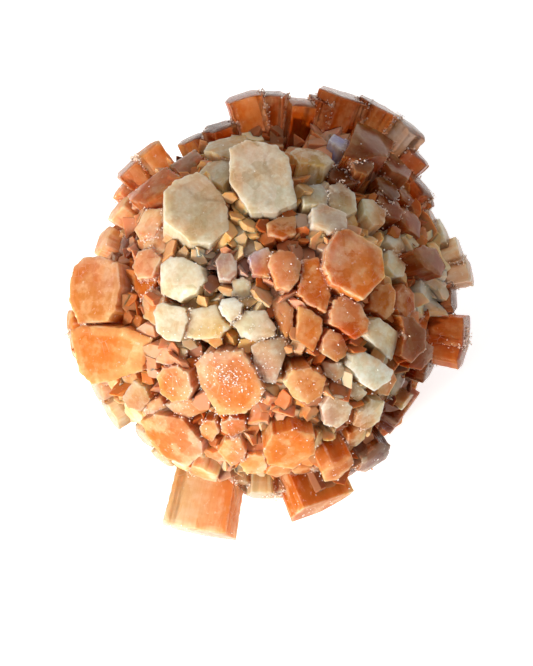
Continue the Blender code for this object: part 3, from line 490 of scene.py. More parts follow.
LEANING = [
    Leaning("grey_between", -4.0, 12.4, 27.0, 4.6, 3.8, 120, ("pale", "grey", "brown", 90)),
    Leaning("olive_between", -3.0, 9.6, 26.6, 4.8, 3.8, 60, ("pale", "grey", "brown", 270)),
    Leaning("brown_inner", 10.8, 19.3, 28.8, 4.6, 4.2, 90, ("brown", "brown", "umber", 90)),
    Leaning("crust_low", 1.4, -11.8, 27.2, 4.2, 3.8, 20, ("orange", "rose", "cream", 0)),
    Leaning("crust_lower", 4.3, -14.0, 26.8, 3.8, 3.4, 70, ("pale", "sand", "rose", 0)),
    Leaning("olive_low", 7.2, -16.4, 26.0, 4.4, 3.8, 30, ("pale", "grey", "brown", 0)),
    # The bottom
    Leaning(
        "bottom_left", -9.4, -32.0, 33.6, 11.1, 7.6, 0, ("clear", "cream", "orange", -10), (-3, 0), 0.85,
    ),
    Leaning(
        "bottom_right", 7.9, -28.1, 29.8, 9.2, 6.8, 0, ("orange", "orange", "rust", 160), (-3.8, -1.4), 0.85,
    ),
    Leaning("limb_bottom", -0.6, -26.5, 27.2, 5.2, 4.6, 0, ("clear", "cream", "grey", 0)),
    Leaning("limb_bottom_right", 2.4, -26.2, 26.9, 4.4, 4.0, 30, ("clear", "peach", "orange", 0)),
    Leaning("limb_bottom_left", -3.6, -24.8, 25.8, 4.2, 3.8, 60, ("clear", "cream", "peach", 180)),
    # The left limb
    Leaning("limb_low_left", -15.2, -21.2, 26.8, 4.0, 3.6, 30, ("clear", "cream", "grey", 0)),
    Leaning("limb_low_left_up", -17.8, -18.2, 26.2, 4.4, 4.0, 0, ("clear", "peach", "cream", 0)),
    Leaning("clear_wedge", -22.5, -14.9, 27.9, 4.8, 4.2, 60, ("clear", "cream", "grey", 200)),
    Leaning("clear_wedge_up", -24.6, -11.1, 27.9, 4.8, 4.0, 20, ("clear", "cream", "peach", 0)),
    Leaning("limb_left_low", -28.0, -5.0, 29.2, 4.6, 4.0, 90, ("orange", "amber", "peach", 0)),
    Leaning("limb_left_middle", -28.5, -1.8, 29.2, 4.2, 3.8, 0, ("orange", "rust", "amber", 0)),
    Leaning("orange_nook", -17.2, 4.0, 27.6, 4.8, 4.4, 20, ("orange", "orange", "rust", 180)),
    Leaning("orange_nook_low", -19.0, 1.2, 27.0, 4.4, 4.0, 70, ("orange", "rust", "orange", 0)),
    Leaning("orange_pink", -15.8, 0.7, 28.0, 5.2, 4.2, 95, ("orange", "orange", "rose", 90)),
    Leaning("pink_round", -17.0, 6.8, 28.4, 5.0, 4.6, 10, ("orange", "rose", "peach", 0)),
    Leaning("pink_clear", -16.6, 12.4, 28.2, 5.4, 4.8, 60, ("orange", "rose", "sand", 90)),
    Leaning("pink_clear_low", -15.6, 9.6, 27.8, 4.6, 4.2, 20, ("orange", "sand", "rose", 0)),
    Leaning("brown_nook", -20.0, 10.0, 25.4, 4.4, 4.0, 40, ("brown", "brown", "rose", 180)),
    Leaning("limb_pink_low", -23.8, 10.3, 26.7, 5.4, 4.8, 90, ("orange", "peach", "sand", 90)),
    Leaning("limb_pink", -21.4, 15.2, 27.2, 5.0, 4.4, 90, ("orange", "peach", "sand", 0)),
    Leaning("limb_pink_top", -21.0, 18.0, 28.2, 4.0, 3.6, 0, ("orange", "peach", "rust", 90)),
    Leaning(
        "limb_left_high", -20.0, 20.8, 29.6, 4.8, 4.4, 45, ("brown", "rose", "fawn", 0), RADIAL, 0.75,
    ),
    Leaning(
        "limb_top_left", -17.5, 23.3, 29.8, 4.8, 4.4, 45, ("orange", "sand", "rust", 60), RADIAL, 0.75,
    ),
    # The brown group along the top: its browns are partly the crystals' own and partly painted shade, away
    # from the key light
    Leaning("dark_top_low", -10.8, 25.0, 28.0, 5.2, 4.2, 30, ("brown", "umber", "fawn", 180)),
    Leaning("dark_top_left", -6.6, 26.7, 28.7, 5.8, 4.8, 30, ("brown", "umber", "brown", 0)),
    Leaning(
        "top_prism", -3.4, 31.1, 32.1, 6.0, 5.2, 20, ("brown", "rust", "brown", 120), (5.5, 2), 0.75,
    ),
    Leaning("top_dark", 1.0, 31.4, 32.2, 4.8, 4.4, 0, ("brown", "umber", "brown", 0)),
    Leaning("top_block", 5.0, 30.2, 31.9, 4.2, 5.2, 0, ("brown", "brown", "rust", 90), RADIAL, 0.85),
    Leaning("top_slab", 8.0, 30.6, 32.5, 3.2, 4.6, 0, ("brown", "brown", "umber", 0), RADIAL, 0.85),
    Leaning("top_brown", 11.5, 31.1, 33.8, 8.4, 6.4, 5, ("brown", "brown", "umber", 270)),
    Leaning("top_brown_right", 16.6, 29.5, 34.3, 7.8, 6.0, 0, ("brown", "fawn", "umber", 200)),
    # the bluish tint here is a painted reflection
    Leaning("sky_limb", 20.9, 26.6, 34.4, 5.8, 5.2, 0, ("brown", "smoke", "sky", 60)),
    Leaning("sky_limb_low", 21.6, 22.9, 32.0, 5.2, 4.8, 40, ("brown", "brown", "smoke", 90)),
    # its lilac tint is a painted bluish reflection
    Leaning("lilac_notch", 10.9, 23.9, 30.0, 4.0, 3.6, 60, ("pale", "lilac", "lilac", 150)),
    Leaning("brown_right", 18.4, 20.9, 30.4, 6.0, 5.4, 60, ("brown", "brown", "fawn", 200)),
    Leaning("brown_right_low", 22.2, 18.4, 29.8, 5.2, 4.8, 20, ("brown", "brown", "umber", 0)),
    Leaning("brown_nook_right", 17.2, 17.6, 29.0, 4.4, 4.0, 30, ("brown", "umber", "fawn", 90)),
    Leaning("slat_right", 20.0, 16.6, 28.6, 3.6, 2.8, 40, ("brown", "fawn", "brown", 0)),
    Leaning("tip_right", 23.6, 16.4, 29.4, 2.8, 2.6, 30, ("brown", "umber", "brown", 0)),
    Leaning("brown_step", 17.5, 14.9, 28.4, 4.8, 4.4, 0, ("brown", "fawn", "brown", 0)),
    Leaning("rust_step", 20.6, 13.0, 27.8, 5.0, 4.6, 60, ("brown", "brown", "rust", 180)),
    # The right limb
    Leaning("crust_right", 18.6, 10.2, 26.6, 4.4, 4.0, 20, ("pale", "grey", "fawn", 0)),
    Leaning("crust_right_low", 18.4, 6.8, 26.2, 4.2, 3.8, 70, ("pale", "grey", "sand", 0)),
    Leaning("limb_grey_top", 24.1, 13.2, 28.1, 4.4, 4.0, 10, ("brown", "fawn", "grey", 200)),
    Leaning("limb_grey", 25.8, 11.2, 28.7, 4.6, 4.2, 40, ("pale", "grey", "fawn", 0)),
    Leaning("limb_clear_top", 27.9, 8.8, 29.8, 4.6, 4.2, 0, ("clear", "grey", "smoke", 0)),
    Leaning("limb_clear", 29.4, 6.0, 30.5, 4.6, 4.4, 40, ("clear", "smoke", "grey", 180)),
    Leaning("limb_dark", 27.0, 2.0, 27.9, 4.6, 4.2, 30, ("brown", "umber", "brown", 0)),
    Leaning("striped_block", 23.0, 4.0, 25.6, 5.2, 4.6, 90, ("pale", "white", "grey", 0), RADIAL, 0.85),
    Leaning("brown_limb", 28.7, -2.8, 29.9, 5.0, 4.8, 90, ("brown", "brown", "rust", 180), RADIAL, 0.8),
    Leaning(
        "brown_limb_low", 28.4, -5.6, 29.9, 5.6, 4.8, 70, ("brown", "rust", "brown", 0), RADIAL, 0.8,
    ),
    Leaning("limb_right_low", 23.4, -8.2, 25.8, 4.6, 4.2, 0, ("brown", "umber", "brown", 0)),
    Leaning("dark_right_low", 18.9, -10.5, 23.8, 4.4, 4.0, 0, ("brown", "umber", "grey", 180)),
    Leaning("dark_right_lower", 16.2, -13.3, 23.4, 4.4, 4.0, 30, ("brown", "brown", "grey", 180)),
    Leaning("grey_low_right", 14.6, -14.8, 27.4, 5.6, 4.6, 90, ("pale", "fawn", "grey", 0)),
    Leaning("smoky_limb", 15.4, -21.4, 28.0, 6.2, 5.2, 30, ("clear", "brown", "umber", 0)),
    Leaning("smoky_limb_left", 12.4, -22.8, 27.1, 4.4, 4.0, 60, ("brown", "brown", "fawn", 180)),
]

# A filling crystal on the measured face takes the colours of the measured one nearest to it. The others take
# one of these pairs, and mostly a browner one where they stand to the right or high up, away from the key
# light: partly painted shade.
MEASURED_EDGE = -0.15  # how far round the back, as a cosine, the measured face reaches for this
PLAIN = {"lilac": "rose", "sky": "fawn"}  # what the neighbours of a crystal with a violet or bluish painted reflection take
SHADED_FROM = 0.35
SHADED_CHANCE = 0.6  # how much chance has to do with it
BACK_LOOKS = [
    ("orange", "peach"),
    ("rust", "orange"),
    ("peach", "sand"),
    ("rust", "brown"),
    ("rose", "peach"),
    ("brown", "rust"),
    ("sand", "honey"),
]
SHADED_LOOKS = [
    ("brown", "rust"),
    ("brown", "umber"),
    ("fawn", "brown"),
    ("rust", "brown"),
    ("smoke", "brown"),
]

# A crystal as it is built: the middle of its flat tip, the way that it points and its corners there
Prism = namedtuple("Prism", "name tip axis corners")

# What the colours need of the crystals, each as one array for all of them
Table = namedtuple("Table", "tips axes reaches normals offsets corners")


def face_axes():
    """The ball's measured face: the unit vectors that run across it, up it and straight out of it."""
    across = Vector((1, 0, 0))
    up = Vector((0, math.sin(FACE_TILT), math.cos(FACE_TILT)))
    out = Vector((0, -math.cos(FACE_TILT), math.sin(FACE_TILT)))
    return across, up, out


def six_corners(tip, axis, long, short, turn, shoulder, draw):
    """A six-sided outline square to the axis round the tip, whose corners stray a little at random."""
    across, up, out = face_axes()
    lay = out.rotation_difference(axis)
    along = lay @ (across * math.cos(turn) + up * math.sin(turn))
    side = axis.cross(along)
    flat = shoulder * long / 2
    regular = [
        (long / 2, 0),
        (flat, short / 2),
        (-flat, short / 2),
        (-long / 2, 0),
        (-flat, -short / 2),
        (flat, -short / 2),
    ]
    play = CORNER_PLAY * (long + short) / 2
    return [
        tip + along * (x + draw.uniform(-play, play)) + side * (y + draw.uniform(-play, play))
        for x, y in regular
    ]


def end_on_prism(row):
    """The crystal whose flat tip shows the row's outline on the face of the ball."""
    across, up, out = face_axes()
    middle_across = sum(x for x, y in row.corners) / len(row.corners)
    middle_up = sum(y for x, y in row.corners) / len(row.corners)
    stand = math.sqrt(row.reach**2 - middle_across**2 - middle_up**2)
    tip = across * middle_across + up * middle_up + out * stand
    axis = (tip - across * row.root[0] - up * row.root[1]).normalized()
    corners = []
    for x, y in reversed(row.corners):
        flat = across * x + up * y
        corners.append(flat + out * ((tip - flat).dot(axis) / out.dot(axis)))
    return Prism(row.name, tip, axis, corners)


def leaning_prism(row, draw):
    """The crystal of a row that gives its tip's place and its six-sided size."""
    across, up, out = face_axes()
    stand = math.sqrt(max(0, row.reach**2 - row.across**2 - row.up**2))
    tip = across * row.across + up * row.up + out * stand
    axis = (tip - across * row.root[0] - up * row.root[1]).normalized()
    corners = six_corners(tip, axis, row.long, row.short, math.radians(row.turn), row.shoulder, draw)
    return Prism(row.name, tip, axis, corners)


def foot_prisms():
    """The crystals that the ball rests on: one straight down and a ring that leans out round it."""
    draw = random.Random(SEED)
    made = []
    for number in range(FOOT_RING + 1):
        lean = FOOT_LEAN if number else 0
        round_it = math.tau * number / FOOT_RING
        axis = Vector((
            math.sin(lean) * math.cos(round_it),
            math.sin(lean) * math.sin(round_it),
            -math.cos(lean),
        ))
        tip = axis * (CENTRE_HEIGHT + (RING_SPARE if number else FOOT_SPARE))
        long = draw.uniform(*FOOT_WIDTH)
        turn = draw.uniform(0, math.pi)
        corners = six_corners(tip, axis, long, long * FOOT_FLATNESS, turn, SHOULDER, draw)
        made.append(Prism(f"foot_{number}", tip, axis, corners))
    return made


def spread(count, draw):
    """Directions spread evenly over the ball by the golden angle, each nudged a little at random."""
    golden = math.pi * (3 - math.sqrt(5))
    ways = []
    for number in range(count):
        height = 1 - 2 * (number + 0.5) / count
        ring = math.sqrt(1 - height * height)
        way = Vector((ring * math.cos(golden * number), ring * math.sin(golden * number), height))
        ways.append((way + Vector([draw.uniform(-NUDGE, NUDGE) for _ in range(3)])).normalized())
    return ways


def is_clear(prism, way, margin):
    """Whether the line from the centre along way passes at least margin outside the prism's flat tip."""
    lean = way.dot(prism.axis)
    if lean < SIDEWAYS:
        return True
    passing = way * (prism.tip.dot(prism.axis) / lean)
    following = prism.corners[1:] + prism.corners[:1]
    return any(
        (passing - corner).dot((after - corner).cross(prism.axis).normalized()) > margin
        for corner, after in zip(prism.corners, following)
    )


def filling_prisms(standing):
    """Crystals for the rest of the ball, each one left out where another already covers its place. On
    the measured face they only fill the gaps, and round its edge they stay short."""
    out = face_axes()[2]
    draw = random.Random(SEED)
    ways = [(way, False) for way in spread(BACK_DIRECTIONS, draw)]
    ways += [(way, True) for way in spread(GAP_DIRECTIONS, draw)]
    made = []
    for number, (way, gap) in enumerate(ways):
        facing = way.dot(out)
        if (facing > FACE_EDGE) != gap:
            continue
        if gap:
            reach, long, share = draw.uniform(*GAP_REACH), draw.uniform(*GAP_WIDTH), GAP_MARGIN
        elif facing > BACK_EDGE:
            reach, long, share = draw.uniform(*EDGE_REACH), draw.uniform(*BACK_WIDTH), BACK_MARGIN
        else:
            reach, long, share = draw.uniform(*BACK_REACH), draw.uniform(*BACK_WIDTH), BACK_MARGIN
        short = long * draw.uniform(*FLATNESS)
        turn = draw.uniform(0, math.pi)
        tip = way * reach
        corners = six_corners(tip, way, long, short, turn, SHOULDER, draw)
        if all(is_clear(prism, way, share * long) for prism in standing + made):
            made.append(Prism(f"back_{number}", tip, way, corners))
    return made


@lru_cache
def every_prism():
    """All the crystals, in the order that their random draws need."""
    draw = random.Random(SEED)
    standing = [end_on_prism(row) for row in END_ON]
    standing += [leaning_prism(row, draw) for row in LEANING]
    standing += foot_prisms()
    return standing + filling_prisms(standing)


@lru_cache
def every_look():
    """For each crystal its group, its two tints and the side that shades into the second one."""
    measured = {row.name: row.look for row in END_ON + LEANING}
    prisms = every_prism()
    shown = [prism for prism in prisms if prism.name in measured]
    out = face_axes()[2]
    draw = random.Random(SEED)
    looks = []
    for prism in prisms:
        pick, way = draw.random(), draw.uniform(0, 360)
        if prism.name in measured:
            looks.append(measured[prism.name])
        elif prism.axis.dot(out) > MEASURED_EDGE:
            nearest = max(shown, key=lambda other: other.tip.normalized().dot(prism.axis))
            pair = [PLAIN.get(name, name) for name in measured[nearest.name][1:3]]
            looks.append(("inner", *pair, way))
        else:
            # painted shade: browner looks mostly to the right and above, away from the key light, and by
            # chance
            shaded = prism.axis.x + 0.5 * prism.axis.z + SHADED_CHANCE * (pick - 0.5) > SHADED_FROM
            pairs = SHADED_LOOKS if shaded else BACK_LOOKS
            looks.append(("inner", *pairs[int(pick * 97) % len(pairs)], way))
    return looks


def unit(vectors):
    """The vectors, each drawn out or in to a length of one."""
    return vectors / np.linalg.norm(vectors, axis=1, keepdims=True)


def own_axes(prism):
    """The crystal's own axes as rows: two ways across its tip, and the way out along it."""
    across, _, out = face_axes()
    along = out.rotation_difference(prism.axis) @ across
    return np.array([along, prism.axis.cross(along), prism.axis])


def tip_outline(prism):
    """The corners of the tip along the crystal's own two ways across it."""
    return (np.array(prism.corners) - np.array(prism.tip)) @ own_axes(prism)[:2].T


def taper(depth, reach):
    """How wide the crystal is at a depth below its tip, as a share of its tip: one, less a part that
    grows in step with the depth."""
    return 1 - (1 - ROOT_SHARE) * depth / (reach - CRYSTAL_ROOT)


def stepped_outline(corners, spacing, draw):
    """The outline of one crystal: each corner is a curve that leaves one side and meets the next, and the
    straight run between two corners is cut in short lengths that stand back by a small step or none."""
    before = np.roll(corners, 1, 0) - corners
    after = np.roll(corners, -1, 0) - corners
    to_before = np.linalg.norm(before, axis=1, keepdims=True)
    to_after = np.linalg.norm(after, axis=1, keepdims=True)
    ease = np.minimum(CORNER_ROUND, CORNER_SHARE * np.minimum(to_before, to_after))
    start = corners + before / to_before * ease
    end = corners + after / to_after * ease
    share = np.linspace(0, 1, CURVE_POINTS)[None, :, None]
    curve = (1 - share) ** 2 * start[:, None] + share**2 * end[:, None]
    curve += 2 * share * (1 - share) * corners[:, None]
    count = int(np.clip(round(to_after.mean() / spacing), *LATHS))
    share = np.linspace(0, 1, count + 2)[None, 1:-1, None]
    run = end[:, None] * (1 - share) + np.roll(start, -1, 0)[:, None] * share
    inward = np.stack([-after[:, 1], after[:, 0]], 1) / to_after
    back = draw.choice(LATH_SHARES, (len(corners), count)) * LATH_STEP
    run += inward[:, None] * back[..., None]
    return np.concatenate([curve, run], 1).reshape(-1, 2)


def tip_relief(points, half, draw):
    """How far the tip stands off its plane: a slight dome, less what one or two sloping facets cut off
    near its edge, less a low growth step down across a wavy line."""
    height = -DOME * draw.uniform(-0.2, 1) * (points**2).sum(-1) / half**2
    for _ in range(draw.integers(0, 3)):
        way = draw.uniform(0, math.tau)
        over = points @ np.array([math.cos(way), math.sin(way)]) - half * draw.uniform(*FACET_START)
        height -= np.maximum(0, over) * draw.uniform(*FACET_FALL)
    way = draw.uniform(0, math.tau)
    run = points @ np.array([math.cos(way), math.sin(way)])
    side = points @ np.array([-math.sin(way), math.cos(way)])
    run = run - half * draw.uniform(*STEP_START) + STEP_WAVE * half * np.sin(4 * side / half + way)
    height -= GROWTH_STEP * draw.uniform(0, 1) * np.clip(run / STEP_RUN + 0.5, 0, 1)
    return height


def closed_tube(rings, columns):
    """The faces of a closed skin whose points come ring by ring, and then one point for each end: faces
    with four corners between the rings, and a fan of three-cornered ones round each end."""
    column = np.arange(columns)
    after = (column + 1) % columns
    first = np.arange(rings - 1)[:, None] * columns
    quads = np.stack([first + after, first + column, first + column + columns, first + after + columns], 2)
    last = (rings - 1) * columns
    top = np.stack([np.full(columns, rings * columns), column, after], 1)
    bottom = np.stack([np.full(columns, rings * columns + 1), last + after, last + column], 1)
    return quads.reshape(-1, 4), np.concatenate([top, bottom])


def crystal_skin(prism, number, spacing):
    """One closed crystal as points and faces. Its outline is carried along its axis: a point is the tip,
    less the axis times the depth, plus the outline times a share. The share grows from nothing to one
    across the tip, keeps back a little round the worn rim, and then tapers with the depth. Low growth
    bands and the tip's relief are added."""
    draw = np.random.default_rng([SEED, number])
    reach = prism.tip.length
    outline = stepped_outline(tip_outline(prism), spacing, draw)
    length = np.linalg.norm(outline, axis=1)
    half = length.min()
    bevel = RIM_WEAR * draw.uniform(*WEAR_PLAY) * min(1, half / FULL_WEAR)
    rings = int(np.clip(round(length.mean() / spacing), *TIP_RINGS))
    edge = min(draw.uniform(*TABLE_EDGE), TABLE_SHARE * half)
    slope = draw.uniform(*TABLE_SLOPE) * (draw.random() < SLOPED)
    turn = np.linspace(0, math.pi / 2, CURVE_POINTS)
    shown = np.arange(bevel + 0.8 * spacing, max(SHOWN_DEPTH, reach - INNER_REACH), 1.35 * spacing)
    depth = np.concatenate([
        np.zeros(rings - 1), bevel * (1 - np.cos(turn)), shown, [reach - HIDDEN_ROOT],
    ])
    inset = np.concatenate([
        np.full(rings - 1, bevel), bevel * (1 - np.sin(turn)),
        BAND * draw.choice(BAND_SHARES, len(shown)), [0],
    ])
    share = np.ones((len(depth), len(outline)))
    share[:rings - 1] = np.linspace(0, 1, rings)[1:, None] * (1 - edge / length)
    share = share * taper(depth, reach)[:, None] * (1 - inset[:, None] / length)
    flat = outline * share[..., None]
    fall = slope * np.clip(edge - (1 - share) * length, 0, edge)
    height = (tip_relief(flat, half, draw) - fall) * np.clip(1 - depth / RELIEF_DEPTH, 0, 1)[:, None]
    height -= depth[:, None]
    axes = own_axes(prism)
    ring_points = flat.reshape(-1, 2) @ axes[:2] + height.reshape(-1, 1) * axes[2]
    ends = np.array([height[0].mean(), -depth[-1]])[:, None] * axes[2]
    points = np.concatenate([ring_points, ends]) + np.array(prism.tip)
    return points, *closed_tube(*height.shape)


def heart_skin():
    """The solid heart that the crystals stand on: a ball whose radius rises and falls with a few crossed
    waves of its two angles, closed at both poles."""
    down = np.linspace(0, math.pi, HEART_ROWS + 1)[1:-1, None]
    round_it = np.linspace(0, math.tau, HEART_COLUMNS, endpoint=False)[None]
    waves = np.sin(9 * down) * np.sin(7 * round_it) + 0.6 * np.sin(17 * down + 3 * np.sin(5 * round_it))
    radius = HEART_RADIUS + HEART_WAVE * waves
    points = np.stack([
        radius * np.sin(down) * np.cos(round_it),
        radius * np.sin(down) * np.sin(round_it),
        radius * np.cos(down) + 0 * round_it,
    ], 2).reshape(-1, 3)
    points = np.concatenate([points, [[0, 0, HEART_RADIUS], [0, 0, -HEART_RADIUS]]])
    return points, *closed_tube(HEART_ROWS - 1, HEART_COLUMNS)


def filled_mesh(name, points, faces):
    """A mesh from points in millimetres round the ball's centre and groups of faces."""
    mesh = bpy.data.meshes.new(name)
    standing = (points + [0, 0, CENTRE_HEIGHT]) * MM
    mesh.from_pydata(standing.tolist(), [], [row for group in faces for row in group.tolist()])
    return mesh


def marked_object(name, skin, number, home):
    """A helper object whose faces remember which crystal they belong to."""
    mesh = filled_mesh(name, skin[0], skin[1:])
    mark = mesh.attributes.new("crystal", "INT", "FACE")
    mark.data.foreach_set("value", np.full(len(mesh.polygons), number, dtype=np.int32))
    made = bpy.data.objects.new(name, mesh)
    home.objects.link(made)
    return made


def floor_block():
    """A block whose top is the floor, which cuts the resting spot flat."""
    wide = BLOCK_HALF
    grid = np.array([[x, y, z] for x in (-wide, wide) for y in (-wide, wide) for z in (-wide, 0)], float)
    grid[:, 2] -= CENTRE_HEIGHT
    sides = np.array([[0, 1, 3, 2], [4, 6, 7, 5], [0, 4, 5, 1], [2, 3, 7, 6], [0, 2, 6, 4], [1, 5, 7, 3]])
    return grid, sides


def solid_step(base, name, operation):
    """A step that joins other solids to the base, or cuts one away from it."""
    step = base.modifiers.new(name, "BOOLEAN")
    step.operation = operation
    step.solver = "MANIFOLD"
    return step


def drop_flat_pockets(mesh):
    """Takes out the pairs of faces that have the same corners, since nothing lies between them."""
    shape = bmesh.new()
    shape.from_mesh(mesh)
    same = {}
    for face in shape.faces:
        same.setdefault(frozenset(face.verts), []).append(face)
    doubled = [face for faces in same.values() if len(faces) > 1 for face in faces]
    bmesh.ops.delete(shape, geom=doubled, context="FACES")
    shape.to_mesh(mesh)
    shape.free()


def grown_together(name, numbers, spacing, with_heart=False):
    """The crystals of one group as one closed skin, cut flat at the floor."""
    prisms = every_prism()
    home = bpy.data.collections.new(name + "_parts")
    bpy.context.scene.collection.children.link(home)
    parts = [
        marked_object(f"{name}_{number}", crystal_skin(prisms[number], number, spacing), number, home)
        for number in numbers
    ]
    if with_heart:
        parts.insert(0, marked_object(name + "_heart", heart_skin(), HEART_MARK, home))
    base = parts[0]
    home.objects.unlink(base)
    bpy.context.scene.collection.objects.link(base)
    union = solid_step(base, "union", "UNION")
    union.operand_type = "COLLECTION"
    union.collection = home
    corners, sides = floor_block()
    block = bpy.data.objects.new(name + "_floor", filled_mesh(name + "_floor", corners, [sides]))
    bpy.context.scene.collection.objects.link(block)
    parts.append(block)
    solid_step(base, "cut", "DIFFERENCE").object = block
    bpy.context.view_layer.update()
    found = base.evaluated_get(bpy.context.evaluated_depsgraph_get())
    mesh = bpy.data.meshes.new_from_object(found)
    mesh.name = name
    for part in parts:
        spare = part.data
        bpy.data.objects.remove(part)
        bpy.data.meshes.remove(spare)
    bpy.data.collections.remove(home)
    drop_flat_pockets(mesh)
    if len(mesh.polygons) < 100 or mesh.validate():
        raise RuntimeError(f"the crystals of {name} didn't join")
    return mesh


@lru_cache
def crystal_table():
    """What the colours need of each crystal: its tip, its axes, its reach, the outward normal and the
    offset of each side, and its corners, padded to the most that a crystal has."""
    prisms = every_prism()
    most = max(len(prism.corners) for prism in prisms)
    tips = np.array([prism.tip for prism in prisms])
    axes = np.array([own_axes(prism) for prism in prisms])
    normals = np.zeros((len(prisms), most, 2))
    offsets = np.full((len(prisms), most), FAR)
    corners = np.full((len(prisms), most, 2), FAR)
    for number, prism in enumerate(prisms):
        outline = tip_outline(prism)
        side = np.roll(outline, -1, 0) - outline
        normal = unit(np.stack([side[:, 1], -side[:, 0]], 1))
        normals[number, :len(outline)] = normal
        offsets[number, :len(outline)] = (normal * outline).sum(1)
        corners[number, :len(outline)] = outline
    return Table(tips, axes, np.linalg.norm(tips, axis=1), normals, offsets, corners)


def joint_distance(points):
    """How far each point, on one crystal's skin, is from the next nearest crystal. The distance from a
    crystal is the largest of the distances outside its sides and its tip."""
    tips, axes, reaches, normals, offsets, _ = crystal_table()
    nearest = np.full((2, len(points)), NO_NEIGHBOUR)
    ways = unit(points)
    for tip, axis, reach, normal, offset in zip(tips, axes, reaches, normals, offsets):
        near = np.nonzero(ways @ (tip / reach) > JOINT_WAYS)[0]
        own = (points[near] - tip) @ axis.T
        flat = own[:, :2] / taper(np.maximum(0, -own[:, 2]), reach)[:, None]
        outside = np.maximum((flat @ normal.T - offset).max(1), own[:, 2])
        gap = np.abs(outside)
        closer = gap < nearest[0, near]
        nearest[1, near] = np.where(closer, nearest[0, near], np.minimum(nearest[1, near], gap))
        nearest[0, near] = np.where(closer, gap, nearest[0, near])
    return nearest[1]


def read(items, field, width=1, kind=float):
    """What a field says for each item of a mesh, as an array with that many numbers to an item."""
    values = np.empty(len(items) * width, dtype=kind)
    items.foreach_get(field, values)
    return values.reshape(-1, width) if width > 1 else values


def from_centre(mesh):
    """The places of the mesh's points, in millimetres from the ball's centre."""
    return read(mesh.vertices, "co", 3) / MM - [0, 0, CENTRE_HEIGHT]


def shaded_tints(colours, flat, owner):
    """The tint at each place: the main tint of its crystal, mixed with the second one towards the side
    that shades, and a little brighter or darker than in the next crystal. Also a random share for each
    crystal."""
    looks = every_look()
    table = crystal_table()
    across, up, _ = face_axes()
    main = np.array([linear(colours[look[1]]) for look in looks])
    second = np.array([linear(colours[look[2]]) for look in looks])
    turn = np.radians([look[3] for look in looks])
    side = np.cos(turn)[:, None] * np.array(across) + np.sin(turn)[:, None] * np.array(up)
    side = np.einsum("nij,nj->ni", table.axes[:, :2], side)
    half = np.linalg.norm(table.corners, axis=2)
    half = np.where(half > FAR / 2, 0, half).max(1)
    draw = np.random.default_rng(SEED)
    bright = draw.uniform(*BRIGHT_PLAY, len(looks))
    chance = draw.uniform(0, 1, len(looks))
    shade = smooth(SHADE_MIDDLE + SHADE_RUN * (flat * side[owner]).sum(1) / half[owner])[:, None]
    tint = main[owner] * (1 - shade) + second[owner] * shade
    return tint * bright[owner][:, None], chance[owner]


def linear(tint):
    """A colour as the eye names it turned into amounts of light."""
    tint = np.asarray(tint, float)
    return np.where(tint <= 0.04045, tint / 12.92, ((tint + 0.055) / 1.055) ** 2.4)


def smooth(share):
    """A share from nought to one that starts and ends gently: three of its square less two of its cube."""
    share = np.clip(share, 0, 1)
    return share * share * (3 - 2 * share)


def paint(mesh, colours):
    """Stores what the material reads at each corner of each face: the tint, with painted shade deep down the
    sides, the place within the crystal, and marks for worn edges with a painted highlight, for joints with
    the neighbours, which take the crust and painted shade, and for the flat tip."""
    tips, axes, reaches, normals, offsets, corners = crystal_table()
    owner = read(mesh.attributes["crystal"].data, "value", kind=np.int32)
    owner = np.repeat(owner, read(mesh.polygons, "loop_total", kind=np.int32))
    vertex = read(mesh.loops, "vertex_index", kind=np.int32)
    place = from_centre(mesh)
    point = place[vertex]
    heart = owner == HEART_MARK
    if heart.any():
        owner[heart] = np.argmax(unit(point[heart]) @ unit(tips).T, axis=1)
    own = np.einsum("nij,nj->ni", axes[owner], point - tips[owner])
    depth = np.maximum(0, -own[:, 2])
    flat = own[:, :2] / taper(depth, reaches[owner])[:, None]
    inside = (offsets[owner] - np.einsum("nkj,nj->nk", normals[owner], flat)).min(1)
    inside = np.maximum(0, inside)
    to_corner = np.linalg.norm(corners[owner] - flat[:, None], axis=2).min(1)
    rim = np.exp(-(inside**2 + depth**2) / RIM_MARK**2)
    edge = np.maximum(rim, CORNER_WEAR_AND_HIGHLIGHT * np.exp(-(to_corner**2) / CORNER_MARK**2))
    joint = np.exp(-joint_distance(place)[vertex] ** 2 / JOINT_MARK**2)
    # the whole heart counts as a joint, so it takes the crust's grit and the painted shade of the seams
    joint[heart] = 1
    near_edge = np.maximum(
        np.exp(-inside / ZONE_MARK) * (depth < TIP_DEPTH),
        np.exp(-depth / ZONE_MARK) * (depth > TIP_DEPTH),
    )
    tint, chance = shaded_tints(colours, flat, owner)
    # painted shade: the sides grow darker and warmer with depth, down in the gaps between the crystals
    tint = np.clip(tint * (1 - smooth(depth / DEEP)[:, None] * DEEP_PAINTED_SHADE), 0, 1)
    # painted shade on the heart, which shows only deep in the gaps
    tint[heart] *= HEART_PAINTED_SHADE
    store(mesh, "tint", "FLOAT_COLOR", "color", np.hstack([tint, np.ones((len(tint), 1))]))
    store(mesh, "marks", "FLOAT_COLOR", "color", np.stack([edge, joint, near_edge, chance], 1))
    store(mesh, "grow", "FLOAT_VECTOR", "vector", own + owner[:, None] * GROW_SHIFT)
    mesh.attributes.remove(mesh.attributes["crystal"])


def store(mesh, name, kind, field, values):
    """Puts one value for each corner of each face into the mesh."""
    layer = mesh.attributes.new(name, kind, "CORNER")
    layer.data.foreach_set(field, np.ascontiguousarray(values, dtype=np.float32).ravel())


def put(tree, kind, inputs=None, **settings):
    """Adds a node to a material: a socket given as an input is linked, and anything else is its value."""
    made = tree.nodes.new(kind)
    for name, value in settings.items():
        setattr(made, name, value)
    for key, value in (inputs or {}).items():
        if isinstance(value, bpy.types.NodeSocket):
            tree.links.new(value, made.inputs[key])
        else:
            made.inputs[key].default_value = value
    return made


